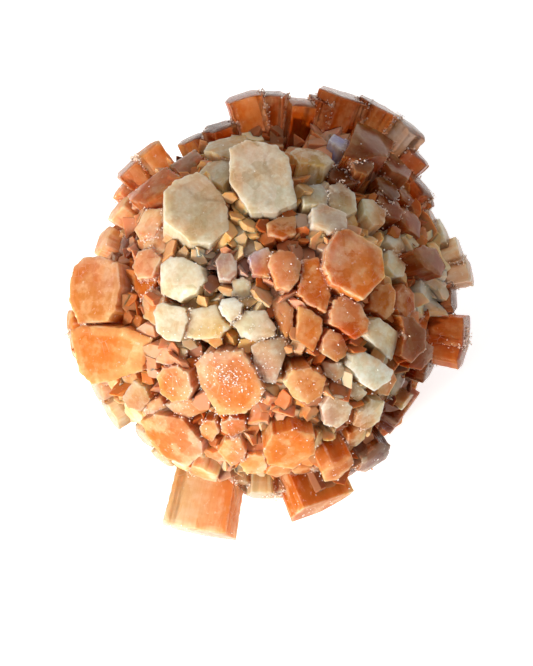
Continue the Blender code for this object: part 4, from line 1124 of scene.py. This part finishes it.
def noise(tree, place, scale, detail=2.0, rough=0.5):
    """A soft random pattern of that many spots to a unit of the place."""
    inputs = {"Vector": place, "Scale": scale, "Detail": detail, "Roughness": rough}
    return put(tree, "ShaderNodeTexNoise", inputs).outputs["Fac"]


def ranged(tree, value, low, high, to_low=0.0, to_high=1.0):
    """A value spread from one range to another and held at its ends."""
    inputs = {"Value": value, "From Min": low, "From Max": high, "To Min": to_low, "To Max": to_high}
    return put(tree, "ShaderNodeMapRange", inputs).outputs["Result"]


def stretched(tree, place, scale):
    """A place with that many units to each of its own, across, across and along."""
    return put(tree, "ShaderNodeMapping", {"Vector": place, "Scale": scale}).outputs[0]


def sums(tree, operation, first, second):
    """Two values put together by an operation."""
    return put(tree, "ShaderNodeMath", {0: first, 1: second}, operation=operation).outputs[0]


def times(tree, first, second):
    """Two values multiplied."""
    return sums(tree, "MULTIPLY", first, second)


def plus(tree, first, second):
    """Two values added."""
    return sums(tree, "ADD", first, second)


def mixed(tree, share, first, second, blend="MIX"):
    """Two colours mixed by a share."""
    inputs = {"Factor": share, 6: first, 7: second}
    return put(tree, "ShaderNodeMix", inputs, data_type="RGBA", blend_type=blend).outputs[2]


def soaked(tree, share, colour, filter_tint):
    """A colour seen through a share of a filter."""
    return mixed(tree, share, colour, filter_tint, "MULTIPLY")


def new_material(name):
    """A material without nodes, and the tree that they go into."""
    material = bpy.data.materials.new(name)
    material.use_nodes = True
    material.node_tree.nodes.clear()
    return material, material.node_tree


def surfaced(tree, inputs):
    """Ends a material with a surface that has these inputs, and gives back the material's output."""
    surface = put(tree, "ShaderNodeBsdfPrincipled", inputs)
    return put(tree, "ShaderNodeOutputMaterial", {"Surface": surface.outputs["BSDF"]})


def mineral(group):
    """Cloudy translucent aragonite. The tint stored in the mesh is broken by milky veils, inner planes
    painted lighter or darker as painted reflections, healed cracks and rusty stains, its worn edges are
    paler with a painted highlight, and a sugary crust and painted shade lie along the joints."""
    glass = GLASS[group]
    material, tree = new_material(f"{group}_aragonite")
    tint = put(tree, "ShaderNodeAttribute", attribute_name="tint").outputs["Color"]
    grow = put(tree, "ShaderNodeAttribute", attribute_name="grow").outputs["Vector"]
    marks = put(tree, "ShaderNodeAttribute", attribute_name="marks").outputs
    chance = marks["Alpha"]
    marks = put(tree, "ShaderNodeSeparateColor", {"Color": marks["Color"]}).outputs
    place = put(tree, "ShaderNodeTexCoord").outputs["Object"]

    # Veils and hollows, growth bands across the crystal and fibres along it
    cloud = noise(tree, stretched(tree, grow, CLOUDS), 1.0, 4.0, 0.62)
    veil = ranged(tree, cloud, 0.49, 0.6)
    hollow = ranged(tree, cloud, 0.34, 0.48, 1.0, 0.0)
    band = ranged(tree, noise(tree, stretched(tree, grow, BANDS), 1.0), 0.35, 0.65)
    fibres = noise(tree, stretched(tree, grow, FIBRES), 1.0)

    # Stains, flecks, the grit of the crust and the wear of the rims, with their painted highlight
    spots = noise(tree, place, SPOTS, 3.0, 0.65)
    stain = ranged(tree, spots, 0.51, 0.62)
    patchy = ranged(tree, spots, 0.56, 0.4)
    fine = noise(tree, place, GRAIN, 2.0, 0.7)
    fleck = ranged(tree, fine, 0.64, 0.72)
    grit = times(tree, ranged(tree, times(tree, fine, marks["Green"]), 0.36, 0.52), patchy)
    # the rims' pale mark: wear and a painted highlight
    worn = ranged(tree, times(tree, fine, marks["Red"]), 0.18, 0.5)

    # Inner fracture planes, each painted lighter or darker as a painted reflection of the light inside, and
    # healed cracks between them
    bent = stretched(tree, grow, REFLECTION_PLANES_AND_CRACKS)
    plane = put(tree, "ShaderNodeTexVoronoi", {"Vector": bent, "Scale": 1.0}, distance="MANHATTAN")
    plane = put(tree, "ShaderNodeSeparateColor", {"Color": plane.outputs["Color"]}).outputs
    split = put(tree, "ShaderNodeTexVoronoi", {"Vector": bent, "Scale": 2.3}, feature="DISTANCE_TO_EDGE")
    crack = ranged(tree, split.outputs["Distance"], 0.0, 0.03, 1.0, 0.0)
    crack = times(tree, crack, ranged(tree, spots, 0.54, 0.66, 0.0, 0.7))

    # A deeper core and a milky outer zone, which follow the outline of the tip in some crystals
    wander = sums(tree, "SUBTRACT", marks["Blue"], times(tree, chance, 0.35))
    wander = plus(tree, wander, times(tree, spots, 0.12))
    zoned = ranged(tree, chance, 0.2, 0.7, 1.0, 0.15)
    core = times(tree, ranged(tree, wander, 0.19, 0.22, 1.0, 0.0), zoned)
    outer = times(tree, ranged(tree, wander, 0.23, 0.3), zoned)

    # The colour, from deep inside out to the crust
    rich = soaked(tree, 1.0, tint, glass.soak)
    haze = [part * math.sqrt(soak) for part, soak in zip(HAZE, glass.soak)]
    milky = mixed(tree, glass.milk, tint, (*haze, 1))
    # painted reflections: the inner planes are made deeper, milkier and more soaked, each by its own share
    colour = mixed(tree, ranged(tree, plane["Red"], 0.3, 0.9, 0.0, 0.6), tint, rich)
    colour = mixed(tree, ranged(tree, plane["Green"], 0.5, 1.0, 0.0, 0.5), colour, milky)
    colour = soaked(tree, ranged(tree, plane["Blue"], 0.35, 0.9, 0.0, 0.8), colour, glass.soak)
    colour = mixed(tree, times(tree, hollow, 0.8), colour, rich)
    colour = mixed(tree, times(tree, veil, VEIL), colour, milky)
    colour = mixed(tree, times(tree, core, 0.5), colour, rich)
    colour = mixed(tree, times(tree, outer, 0.3), colour, milky)
    colour = soaked(tree, times(tree, band, 0.35), colour, glass.soak)
    colour = soaked(tree, times(tree, stain, 1.0 - 0.8 * glass.milk), colour, STAIN)
    # painted shade: a darker, warmer colour along the joints between the crystals
    colour = soaked(tree, times(tree, marks["Green"], 0.7), colour, SEAM_PAINTED_SHADE)
    colour = soaked(tree, ranged(tree, fibres, 0.38, 0.62, 0.45, 0.0), colour, STRIPE)
    # the paler rims and corners are wear and a painted highlight; healed cracks and flecks are pale too
    pale = sums(tree, "MAXIMUM", times(tree, worn, 0.55), crack)
    pale = sums(tree, "MAXIMUM", pale, times(tree, fleck, 0.7))
    colour = mixed(tree, times(tree, pale, glass.milk), colour, WORN_AND_HIGHLIGHT)
    colour = mixed(tree, times(tree, grit, 0.7), colour, GRIT)

    rough = ranged(tree, spots, 0.3, 0.7, 0.7 * glass.satin, glass.satin)
    rough = plus(tree, rough, times(tree, grit, 0.4))
    height = plus(tree, times(tree, fibres, 0.5), times(tree, noise(tree, place, RIPPLES), 0.4))
    bump = put(tree, "ShaderNodeBump", {"Height": height, "Strength": 0.4, "Distance": RIPPLE * MM})
    out = surfaced(tree, {
        "Base Color": colour,
        "Roughness": rough,
        "IOR": MINERAL_IOR,
        "Specular Tint": glass.soak,
        "Specular IOR Level": 0.03 + 0.4 * glass.milk**2,
        "Transmission Weight": glass.clear,
        "Subsurface Weight": 1.0,
        "Subsurface Radius": glass.glow,
        "Subsurface Scale": glass.glow_depth * MM,
        "Normal": bump.outputs["Normal"],
    })
    if glass.soak_depth:
        density = 1 / (glass.soak_depth * MM)
        inside = put(tree, "ShaderNodeVolumeAbsorption", {"Color": glass.soak, "Density": density})
        tree.links.new(inside.outputs["Volume"], out.inputs["Volume"])
    return material


def dry_sugar(name, tone, share):
    """The matt crust and dust: pale grains whose tint, mixed with a share of a tone, wanders a little from
    place to place."""
    material, tree = new_material(name)
    tint = put(tree, "ShaderNodeAttribute", attribute_name="tint").outputs["Color"]
    place = put(tree, "ShaderNodeTexCoord").outputs["Object"]
    spots = ranged(tree, noise(tree, place, SUGAR_SPOTS, 3.0), 0.3, 0.7)
    colour = mixed(tree, share, tint, tone)
    colour = mixed(tree, times(tree, spots, 0.35), colour, SUGAR)
    height = noise(tree, place, SUGAR_GRAIN)
    bump = put(tree, "ShaderNodeBump", {"Height": height, "Strength": 0.4, "Distance": SUGAR_RIPPLE * MM})
    surfaced(tree, {
        "Base Color": colour,
        "Roughness": ranged(tree, spots, 0.0, 1.0, 0.35, 0.6),
        "Subsurface Weight": 0.5,
        "Subsurface Radius": (1.0, 0.7, 0.5),
        "Subsurface Scale": 0.6 * MM,
        "Normal": bump.outputs["Normal"],
    })
    return material


def palette(context):
    """The named tints as the user set them."""
    chosen = context.scene.aragonite_tints
    return {name: tuple(getattr(chosen, name)) for name in TINTS}


def placed(mesh, material, replaces=False):
    """Makes the mesh a piece of the ball."""
    mesh.materials.clear()
    mesh.materials.append(material)
    mesh.shade_smooth()
    mesh.set_sharp_from_angle(angle=SHARP)
    piece = bpy.data.objects.new(mesh.name, mesh)
    bpy.context.scene.collection.objects.link(piece)
    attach(piece, "root")
    if replaces:
        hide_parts("crystal_cluster")
    return piece


def build_group(context, group, with_heart=False):
    """Builds the crystals of one group as one piece."""
    spacing = context.scene.aragonite_sizes.facet / MM * (HIDDEN_SPACING if with_heart else 1)
    numbers = [number for number, look in enumerate(every_look()) if look[0] == group]
    mesh = grown_together(f"{group}_crystals", numbers, spacing, with_heart)
    paint(mesh, palette(context))
    return placed(mesh, mineral(group), with_heart)


def many(name, shapes, faces, places, forms, tints):
    """A joined mesh of many small copies: each point is the place, plus the shape turned and stretched by
    its form."""
    count, corners = len(places), shapes.shape[1]
    shapes = np.broadcast_to(shapes, (count, corners, 3))
    points = places[:, None] + np.einsum("nij,nkj->nki", forms, shapes)
    first = corners * np.arange(count)[:, None, None]
    groups = [(face[None] + first).reshape(-1, face.shape[1]) for face in faces]
    mesh = filled_mesh(name, points.reshape(-1, 3), groups)
    owner = read(mesh.loops, "vertex_index", kind=np.int32) // corners
    store(mesh, "tint", "FLOAT_COLOR", "color", np.hstack([tints[owner], np.ones((len(owner), 1))]))
    return mesh, owner


def random_turns(count, draw):
    """Rotations spread evenly, from random four-part numbers of length one."""
    w, x, y, z = unit(draw.normal(size=(count, 4))).T
    return np.stack([
        1 - 2 * (y * y + z * z), 2 * (x * y - z * w), 2 * (x * z + y * w),
        2 * (x * y + z * w), 1 - 2 * (x * x + z * z), 2 * (y * z - x * w),
        2 * (x * z - y * w), 2 * (y * z + x * w), 1 - 2 * (x * x + y * y),
    ], 1).reshape(-1, 3, 3)


def surface_reach(ways):
    """How far from the centre the crystals' skin lies along each way: the farthest of a row of points on
    the way that is inside some crystal."""
    tips, axes, reaches, normals, offsets, _ = crystal_table()
    steps = np.arange(18, 33, 0.3)
    found = np.full(len(ways), HEART_RADIUS)
    for tip, axis, reach, normal, offset in zip(tips, axes, reaches, normals, offsets):
        near = np.nonzero(ways @ (tip / reach) > SKIN_WAYS)[0]
        own = (ways[near, None] * steps[None, :, None] - tip) @ axis.T
        flat = own[..., :2] / taper(np.maximum(0, -own[..., 2]), reach)[..., None]
        within = ((flat @ normal.T - offset).max(-1) < 0) & (own[..., 2] < 0)
        found[near] = np.maximum(found[near], (within * steps).max(1))
    return found


def little_prisms(draw):
    """A few small prisms that share their faces. Each is an uneven six-sided outline, whose corners stand
    at random shares of a circle, carried from its root to its shoulder and in to its small flat tip."""
    angle = (np.arange(6) + draw.uniform(-0.3, 0.3, (SPROUT_KINDS, 6))) * math.tau / 6
    radius = draw.uniform(0.75, 1.1, (SPROUT_KINDS, 6))
    six = np.stack([np.cos(angle) * radius, np.sin(angle) * radius], 2)
    shapes = np.concatenate([
        np.concatenate([six * share, np.full((SPROUT_KINDS, 6, 1), height)], 2)
        for height, share in SPROUT_LEVELS
    ], 1)
    after = (np.arange(6) + 1) % 6
    ring = np.stack([np.arange(6), after, after + 6, np.arange(6) + 6], 1)
    sides = np.concatenate([ring + 6 * level for level in range(len(SPROUT_LEVELS) - 1)])
    return shapes, [sides, np.array([[5, 4, 3, 2, 1, 0], [18, 19, 20, 21, 22, 23]])]


def sprout_places(draw):
    """Where the little crystals stand, as ways from the centre and how far along them. The ways are spread
    by the golden angle. A tip stands a little below the level of the large tips round it, and one that
    would be buried in a large crystal, or too near the floor, is left out."""
    height = 1 - 2 * (np.arange(SPROUTS) + 0.5) / SPROUTS
    turn = math.pi * (3 - math.sqrt(5)) * np.arange(SPROUTS)
    ring = np.sqrt(1 - height**2)
    ways = np.stack([ring * np.cos(turn), ring * np.sin(turn), height], 1)
    ways = unit(ways + draw.normal(0, SPROUT_NUDGE, ways.shape))
    skin = surface_reach(ways)
    close = ways @ ways.T > math.cos(SPROUT_REGION)
    level = np.minimum(SPROUT_LEVEL, [np.quantile(skin[row], SPROUT_RANK) for row in close])
    reach = level - draw.uniform(*SPROUT_BELOW, SPROUTS)
    keep = (reach > skin + SPROUT_SHOWN) & (reach * ways[:, 2] > -CENTRE_HEIGHT + SPROUT_LIFT)
    return ways[keep], reach[keep]


def sprout_forms(ways, draw):
    """How each little crystal is turned and stretched: it leans out from its way by chance, and its three
    own axes are scaled by its width, its flatness and the slope of its tip."""
    count = len(ways)
    width = draw.uniform(*SPROUT_WIDTH, count) / 2
    lean = unit(ways + draw.normal(0, SPROUT_LEAN, ways.shape))
    side = np.cross(lean, [0.31, 0.52, 0.8]) + draw.normal(0, SPROUT_TURN, ways.shape)
    side = unit(side - lean * (side * lean).sum(1, keepdims=True))
    slope = np.zeros((count, 3, 3))
    slope[:, 0, 0] = width
    slope[:, 1, 1] = width * draw.uniform(*SPROUT_FLATNESS, count)
    slope[:, 2, :2] = draw.normal(0, SPROUT_SLOPE, (count, 2)) * width[:, None]
    slope[:, 2, 2] = width
    return np.stack([side, np.cross(lean, side), lean], 2) @ slope


def sprout_tints(ways, colours, draw):
    """The tint of each little crystal: one of the two tints of the large crystal nearest to it, darkened
    by chance."""
    looks = every_look()
    tips = np.array([prism.tip.normalized() for prism in every_prism()])
    nearest = np.argmax(ways @ tips.T, axis=1)
    pick = np.where(draw.random(len(ways)) < SPROUT_MAIN, 1, 2)
    picked = [looks[number][which] for number, which in zip(nearest, pick)]
    tints = np.array([linear(colours[PLAIN.get(name, name)]) for name in picked])
    return np.clip(tints * draw.uniform(*SPROUT_SHADE, (len(ways), 1)), 0, 1)


def small_crystals(context):
    """The many little crystals that fill the gaps: a few blunt six-sided prisms, each repeated, turned and
    stretched by chance."""
    draw = np.random.default_rng(SEED + 1)
    ways, reach = sprout_places(draw)
    forms = sprout_forms(ways, draw)
    shapes, faces = little_prisms(draw)
    tints = sprout_tints(ways, palette(context), draw)
    kind = draw.integers(0, len(shapes), len(ways))
    mesh, owner = many("small_crystals", shapes[kind], faces, ways * reach[:, None], forms, tints)
    store(mesh, "marks", "FLOAT_COLOR", "color", np.tile(SPROUT_MARKS, (len(owner), 1)))
    store(mesh, "grow", "FLOAT_VECTOR", "vector", owner[:, None] * SPROUT_SHIFT)
    return placed(mesh, mineral("small"))


def joint_places(pieces, draw):
    """Places on the crystals' skins that lie close to a neighbour, picked at random, and their tints."""
    spots, tints = [], []
    for piece in pieces:
        mesh = piece.data
        by_vertex = np.zeros((len(mesh.vertices), 3))
        vertex = read(mesh.loops, "vertex_index", kind=np.int32)
        by_vertex[vertex] = read(mesh.attributes["tint"].data, "color", 4)[:, :3]
        spots.append(from_centre(mesh))
        tints.append(by_vertex)
    spots, tints = np.concatenate(spots), np.concatenate(tints)
    shown = (np.linalg.norm(spots, axis=1) > INNER_REACH) & (spots[:, 2] > -CENTRE_HEIGHT + CRUST_LIFT)
    near = np.nonzero((joint_distance(spots) < CRUST_CLOSEST) & shown)[0]
    chosen = draw.choice(near, CRUST_GRAINS)
    return spots[chosen] + draw.normal(0, CRUST_SPREAD, (CRUST_GRAINS, 3)), tints[chosen]


def grains(name, places, tints, size, draw):
    """A joined mesh of tiny grains of random sizes, each turned at random. A grain has six corners and
    eight faces, and is a little longer one way."""
    shape = np.array([[1, 0, 0], [-1, 0, 0], [0, 0.8, 0], [0, -0.8, 0], [0, 0, 1.2], [0, 0, -1.2]], float)
    faces = np.array([
        [0, 2, 4], [2, 1, 4], [1, 3, 4], [3, 0, 4], [2, 0, 5], [1, 2, 5], [3, 1, 5], [0, 3, 5],
    ])
    sizes = draw.uniform(*size, (len(places), 1)) / 2
    forms = random_turns(len(places), draw) * sizes[:, None]
    return many(name, shape[None], [faces], places, forms, tints)[0]


def sugar_crust(context, pieces):
    """The fine crust along the joints between the crystals, as a joined mesh of tiny grains."""
    draw = np.random.default_rng(SEED + 2)
    places, tints = joint_places(pieces, draw)
    tints = tints * (1 - CRUST_BLUSH) + linear(palette(context)["blush"]) * CRUST_BLUSH
    mesh = grains("sugar_crust", places, tints, CRUST_SIZE, draw)
    return placed(mesh, dry_sugar("sugar_crust", CRUST_TINT, 0.35))


def white_dust(pieces):
    """The white specks that lie on the low crystals of the face."""
    draw = np.random.default_rng(SEED + 3)
    across, up, out = (np.array(axis) for axis in face_axes())
    spots = np.concatenate([from_centre(piece.data) for piece in pieces])
    radius = np.linalg.norm(spots, axis=1)
    lying = (spots @ out > DUST_FRONT) & (radius > DUST_OUTSIDE)
    weight = lying * (DUST_ELSEWHERE + sum(
        thick * np.exp(-((spots @ across - x) ** 2 + (spots @ up - y) ** 2) / wide**2)
        for x, y, wide, thick in DUSTED
    ))
    chosen = draw.choice(len(spots), DUST_SPECKS, p=weight / weight.sum())
    stray = draw.normal(0, DUST_SPREAD, (DUST_SPECKS, 1)) * draw.normal(0, 1, (DUST_SPECKS, 3))
    places = spots[chosen] + stray
    places *= (radius[chosen] / np.linalg.norm(places, axis=1))[:, None]
    tints = np.tile(linear(DUST_TINT[:3]), (DUST_SPECKS, 1))
    mesh = grains("white_dust", places, tints, DUST_SIZE, draw)
    return placed(mesh, dry_sugar("white_dust", DUST_TINT, 0.5))


def studio_floor(context):
    """The pale floor: a wide sheet that rises behind in a smooth quarter bend."""
    across = np.linspace(-FLOOR_HALF, FLOOR_HALF, 25)
    run = np.linspace(0, 1, 41)
    back = np.interp(run, [0, 0.6, 1], [-FLOOR_HALF, FLOOR_BEND, FLOOR_BEND + FLOOR_RISE])
    rise = FLOOR_RISE * smooth((back - FLOOR_BEND) / FLOOR_RISE)
    grid_x, grid_y = np.meshgrid(across, back)
    points = np.stack([grid_x, grid_y, np.broadcast_to(rise[:, None], grid_x.shape)], 2).reshape(-1, 3)
    column = np.arange(len(across) - 1)
    first = np.arange(len(run) - 1)[:, None] * len(across)
    corner = (first + column)[..., None]
    quads = (corner + np.array([0, 1, len(across) + 1, len(across)])).reshape(-1, 4)
    mesh = bpy.data.meshes.new("studio_floor")
    mesh.from_pydata(points.tolist(), [], quads.tolist())
    mesh.shade_smooth()
    material, tree = new_material("pale_paper")
    grain = noise(tree, put(tree, "ShaderNodeTexCoord").outputs["Object"], 40.0, 3.0)
    tint = (*linear(context.scene.aragonite_stage.floor_tint), 1)
    surfaced(tree, {
        "Base Color": mixed(tree, ranged(tree, grain, 0.3, 0.7), tint, PAPER_TINT),
        "Roughness": 0.9,
        "Emission Color": (1, 1, 1, 1),
        "Emission Strength": PAPER_GLOW,
    })
    mesh.materials.append(material)
    floor = bpy.data.objects.new("studio_floor", mesh)
    context.scene.collection.objects.link(floor)


def softbox(lamp, power):
    """A square soft light that looks at the ball's centre."""
    across, up, out = face_axes()
    aim = (across * lamp.way[0] + up * lamp.way[1] + out * lamp.way[2]).normalized()
    light = bpy.data.lights.new(lamp.name, "AREA")
    light.size = lamp.wide
    light.energy = power
    light.color = lamp.tint
    hung = bpy.data.objects.new(lamp.name, light)
    hung.location = Vector((0, 0, CENTRE_HEIGHT * MM)) + aim * lamp.distance
    hung.rotation_euler = aim.to_track_quat("Z", "Y").to_euler()
    bpy.context.scene.collection.objects.link(hung)


def pale_room(context):
    """The even light of the room."""
    world = bpy.data.worlds.new("pale_room")
    world.use_nodes = True
    background = world.node_tree.nodes["Background"]
    background.inputs["Color"].default_value = ROOM_TINT
    background.inputs["Strength"].default_value = ROOM_LIGHT
    context.scene.world = world
    context.scene.view_settings.view_transform = "Standard"


def photo_camera(context):
    """The camera looks straight at the well-formed face of the ball, from a hand's reach away."""
    _, up, out = face_axes()
    camera = bpy.data.cameras.new("camera")
    camera.sensor_fit = "HORIZONTAL"
    camera.sensor_width = 36
    camera.lens = CAMERA_LENS
    camera.clip_start = 0.01
    camera.clip_end = 20
    eye = bpy.data.objects.new("camera", camera)
    centre = Vector((0, 0, CENTRE_HEIGHT))
    eye.location = (centre + out * CAMERA_DISTANCE - up * CAMERA_LOWER) * MM
    eye.rotation_euler = (math.radians(90) - FACE_TILT, 0, 0)
    context.scene.collection.objects.link(eye)
    context.scene.camera = eye


class ARAGONITE_PG_sizes(bpy.types.PropertyGroup):
    """How finely the crystals are made."""

    facet: bpy.props.FloatProperty(
        name="Skin spacing",
        description="Distance between neighbouring points on a crystal's skin",
        default=0.55 * MM,
        min=0.3 * MM,
        max=2 * MM,
        unit="LENGTH",
    )


def tint_property(label, described, default):
    """A colour that the user can change, as the eye names it."""
    return bpy.props.FloatVectorProperty(
        name=label, description=described, default=default, size=3, min=0, max=1, subtype="COLOR_GAMMA"
    )


class ARAGONITE_PG_tints(bpy.types.PropertyGroup):
    """The named tints of the crystals."""

    honey: tint_property("Honey", "The large pale crystals", (0.93, 0.83, 0.74))
    cream: tint_property("Cream", "The whitish crystals", (0.95, 0.88, 0.77))
    sage: tint_property("Sage", "The milky green crystals", (0.96, 0.92, 0.86))
    straw: tint_property("Straw", "The yellowish crystals", (0.96, 0.82, 0.57))
    white: tint_property("White", "The clear white crystals", (1.0, 0.99, 0.97))
    blush: tint_property("Blush", "The pale pink caps and the crust", (1.0, 0.93, 0.9))
    grey: tint_property("Grey", "The grey-green small crystals", (1.0, 0.93, 0.78))
    sand: tint_property("Sand", "The beige crystals", (0.97, 0.81, 0.67))
    peach: tint_property("Peach", "The light orange crystals", (0.9, 0.7, 0.63))
    orange: tint_property("Orange", "The orange crystals", (0.94, 0.63, 0.35))
    amber: tint_property("Amber", "The glowing orange crystals", (0.9, 0.63, 0.35))
    rust: tint_property("Rust", "The red-brown crystals", (0.84, 0.49, 0.19))
    rose: tint_property("Rose", "The pinkish crystals", (0.95, 0.72, 0.63))
    fawn: tint_property("Fawn", "The light brown crystals", (0.8, 0.52, 0.23))
    brown: tint_property("Brown", "The brown crystals", (0.7, 0.35, 0.06))
    umber: tint_property("Umber", "The darkest crystals", (0.47, 0.17, 0.0))
    smoke: tint_property("Smoke", "The mauve-brown crystals", (0.74, 0.58, 0.58))
    # painted reflections: the lilac and sky tints stand in for bluish light reflected by a few facets
    lilac: tint_property("Lilac", "The violet crystals", (0.74, 0.72, 1.0))
    sky: tint_property("Sky", "The bluish crystals", (0.8, 0.9, 1.0))


TINTS = tuple(ARAGONITE_PG_tints.__annotations__)


class ARAGONITE_PG_stage(bpy.types.PropertyGroup):
    """The floor and the lights."""

    floor_tint: tint_property("Floor", "The colour of the paper under the ball", (0.95, 0.95, 0.95))
    key_power: bpy.props.FloatProperty(
        name="Key light",
        description="Power of the soft light from the lower left",
        default=5.6,
        min=0,
        unit="POWER",
    )


class ARAGONITE_OT_inner(bpy.types.Operator):
    """Build the heart of the ball and the crystals behind, below and between the measured ones"""

    bl_idname = "aragonite_ball.inner_crystals"
    bl_label = "Inner crystals"

    def execute(self, context):
        build_group(context, "inner", with_heart=True)
        return {"FINISHED"}


class ARAGONITE_OT_orange(bpy.types.Operator):
    """Build the orange, peach and rust crystals of the face"""

    bl_idname = "aragonite_ball.orange_crystals"
    bl_label = "Orange crystals"

    def execute(self, context):
        build_group(context, "orange")
        return {"FINISHED"}


class ARAGONITE_OT_pale(bpy.types.Operator):
    """Build the honey, cream and milky green crystals of the face"""

    bl_idname = "aragonite_ball.pale_crystals"
    bl_label = "Pale crystals"

    def execute(self, context):
        build_group(context, "pale")
        return {"FINISHED"}


class ARAGONITE_OT_brown(bpy.types.Operator):
    """Build the smoky brown crystals along the upper right of the face, whose browns are partly painted
    shade
    """

    bl_idname = "aragonite_ball.brown_crystals"
    bl_label = "Brown crystals"

    def execute(self, context):
        build_group(context, "brown")
        return {"FINISHED"}


class ARAGONITE_OT_clear(bpy.types.Operator):
    """Build the clear crystals, which can be seen through"""

    bl_idname = "aragonite_ball.clear_crystals"
    bl_label = "Clear crystals"

    def execute(self, context):
        build_group(context, "clear")
        return {"FINISHED"}


class ARAGONITE_OT_small(bpy.types.Operator):
    """Build the little crystals that fill the gaps"""

    bl_idname = "aragonite_ball.small_crystals"
    bl_label = "Small crystals"

    def execute(self, context):
        small_crystals(context)
        return {"FINISHED"}


class ARAGONITE_OT_crust(bpy.types.Operator):
    """Build the sugary crust along the joints and the white dust on the low crystals"""

    bl_idname = "aragonite_ball.crust_and_dust"
    bl_label = "Crust and dust"

    def execute(self, context):
        pieces = [piece for piece in context.scene.objects if piece.name.endswith("_crystals")]
        grown = [piece for piece in pieces if piece.name != "small_crystals"]
        if not grown:
            raise RuntimeError("the crust needs crystals to lie on")
        sugar_crust(context, grown)
        white_dust([piece for piece in grown if piece.name != "inner_crystals"])
        return {"FINISHED"}


class ARAGONITE_OT_stage(bpy.types.Operator):
    """Set out the floor, the soft lights and the camera"""

    bl_idname = "aragonite_ball.stage"
    bl_label = "Stage"

    def execute(self, context):
        studio_floor(context)
        for lamp in LAMPS:
            softbox(lamp, context.scene.aragonite_stage.key_power * lamp.share)
        pale_room(context)
        photo_camera(context)
        return {"FINISHED"}


class ARAGONITE_PT_panel(bpy.types.Panel):
    """The ball's pieces, in the order that they are built"""

    bl_label = "Aragonite ball"
    bl_idname = "ARAGONITE_PT_panel"
    bl_space_type = "VIEW_3D"
    bl_region_type = "UI"
    bl_category = "Aragonite"

    def draw(self, context):
        layout = self.layout
        for operator in OPERATORS:
            layout.operator(operator.bl_idname)
        layout.prop(context.scene.aragonite_sizes, "facet")
        for name in TINTS:
            layout.prop(context.scene.aragonite_tints, name)
        layout.prop(context.scene.aragonite_stage, "floor_tint")
        layout.prop(context.scene.aragonite_stage, "key_power")


OPERATORS = (
    ARAGONITE_OT_inner,
    ARAGONITE_OT_orange,
    ARAGONITE_OT_pale,
    ARAGONITE_OT_brown,
    ARAGONITE_OT_clear,
    ARAGONITE_OT_small,
    ARAGONITE_OT_crust,
    ARAGONITE_OT_stage,
)
CLASSES = (ARAGONITE_PG_sizes, ARAGONITE_PG_tints, ARAGONITE_PG_stage, *OPERATORS, ARAGONITE_PT_panel)


def register():
    for each in CLASSES:
        bpy.utils.register_class(each)
    bpy.types.Scene.aragonite_sizes = bpy.props.PointerProperty(type=ARAGONITE_PG_sizes)
    bpy.types.Scene.aragonite_tints = bpy.props.PointerProperty(type=ARAGONITE_PG_tints)
    bpy.types.Scene.aragonite_stage = bpy.props.PointerProperty(type=ARAGONITE_PG_stage)


def unregister():
    del bpy.types.Scene.aragonite_stage
    del bpy.types.Scene.aragonite_tints
    del bpy.types.Scene.aragonite_sizes
    for each in reversed(CLASSES):
        bpy.utils.unregister_class(each)


def main():
    register()
    bpy.ops.aragonite_ball.inner_crystals()
    bpy.ops.aragonite_ball.orange_crystals()
    bpy.ops.aragonite_ball.pale_crystals()
    bpy.ops.aragonite_ball.brown_crystals()
    bpy.ops.aragonite_ball.clear_crystals()
    bpy.ops.aragonite_ball.small_crystals()
    bpy.ops.aragonite_ball.crust_and_dust()
    bpy.ops.aragonite_ball.stage()
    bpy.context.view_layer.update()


if __name__ == "__main__":
    main()
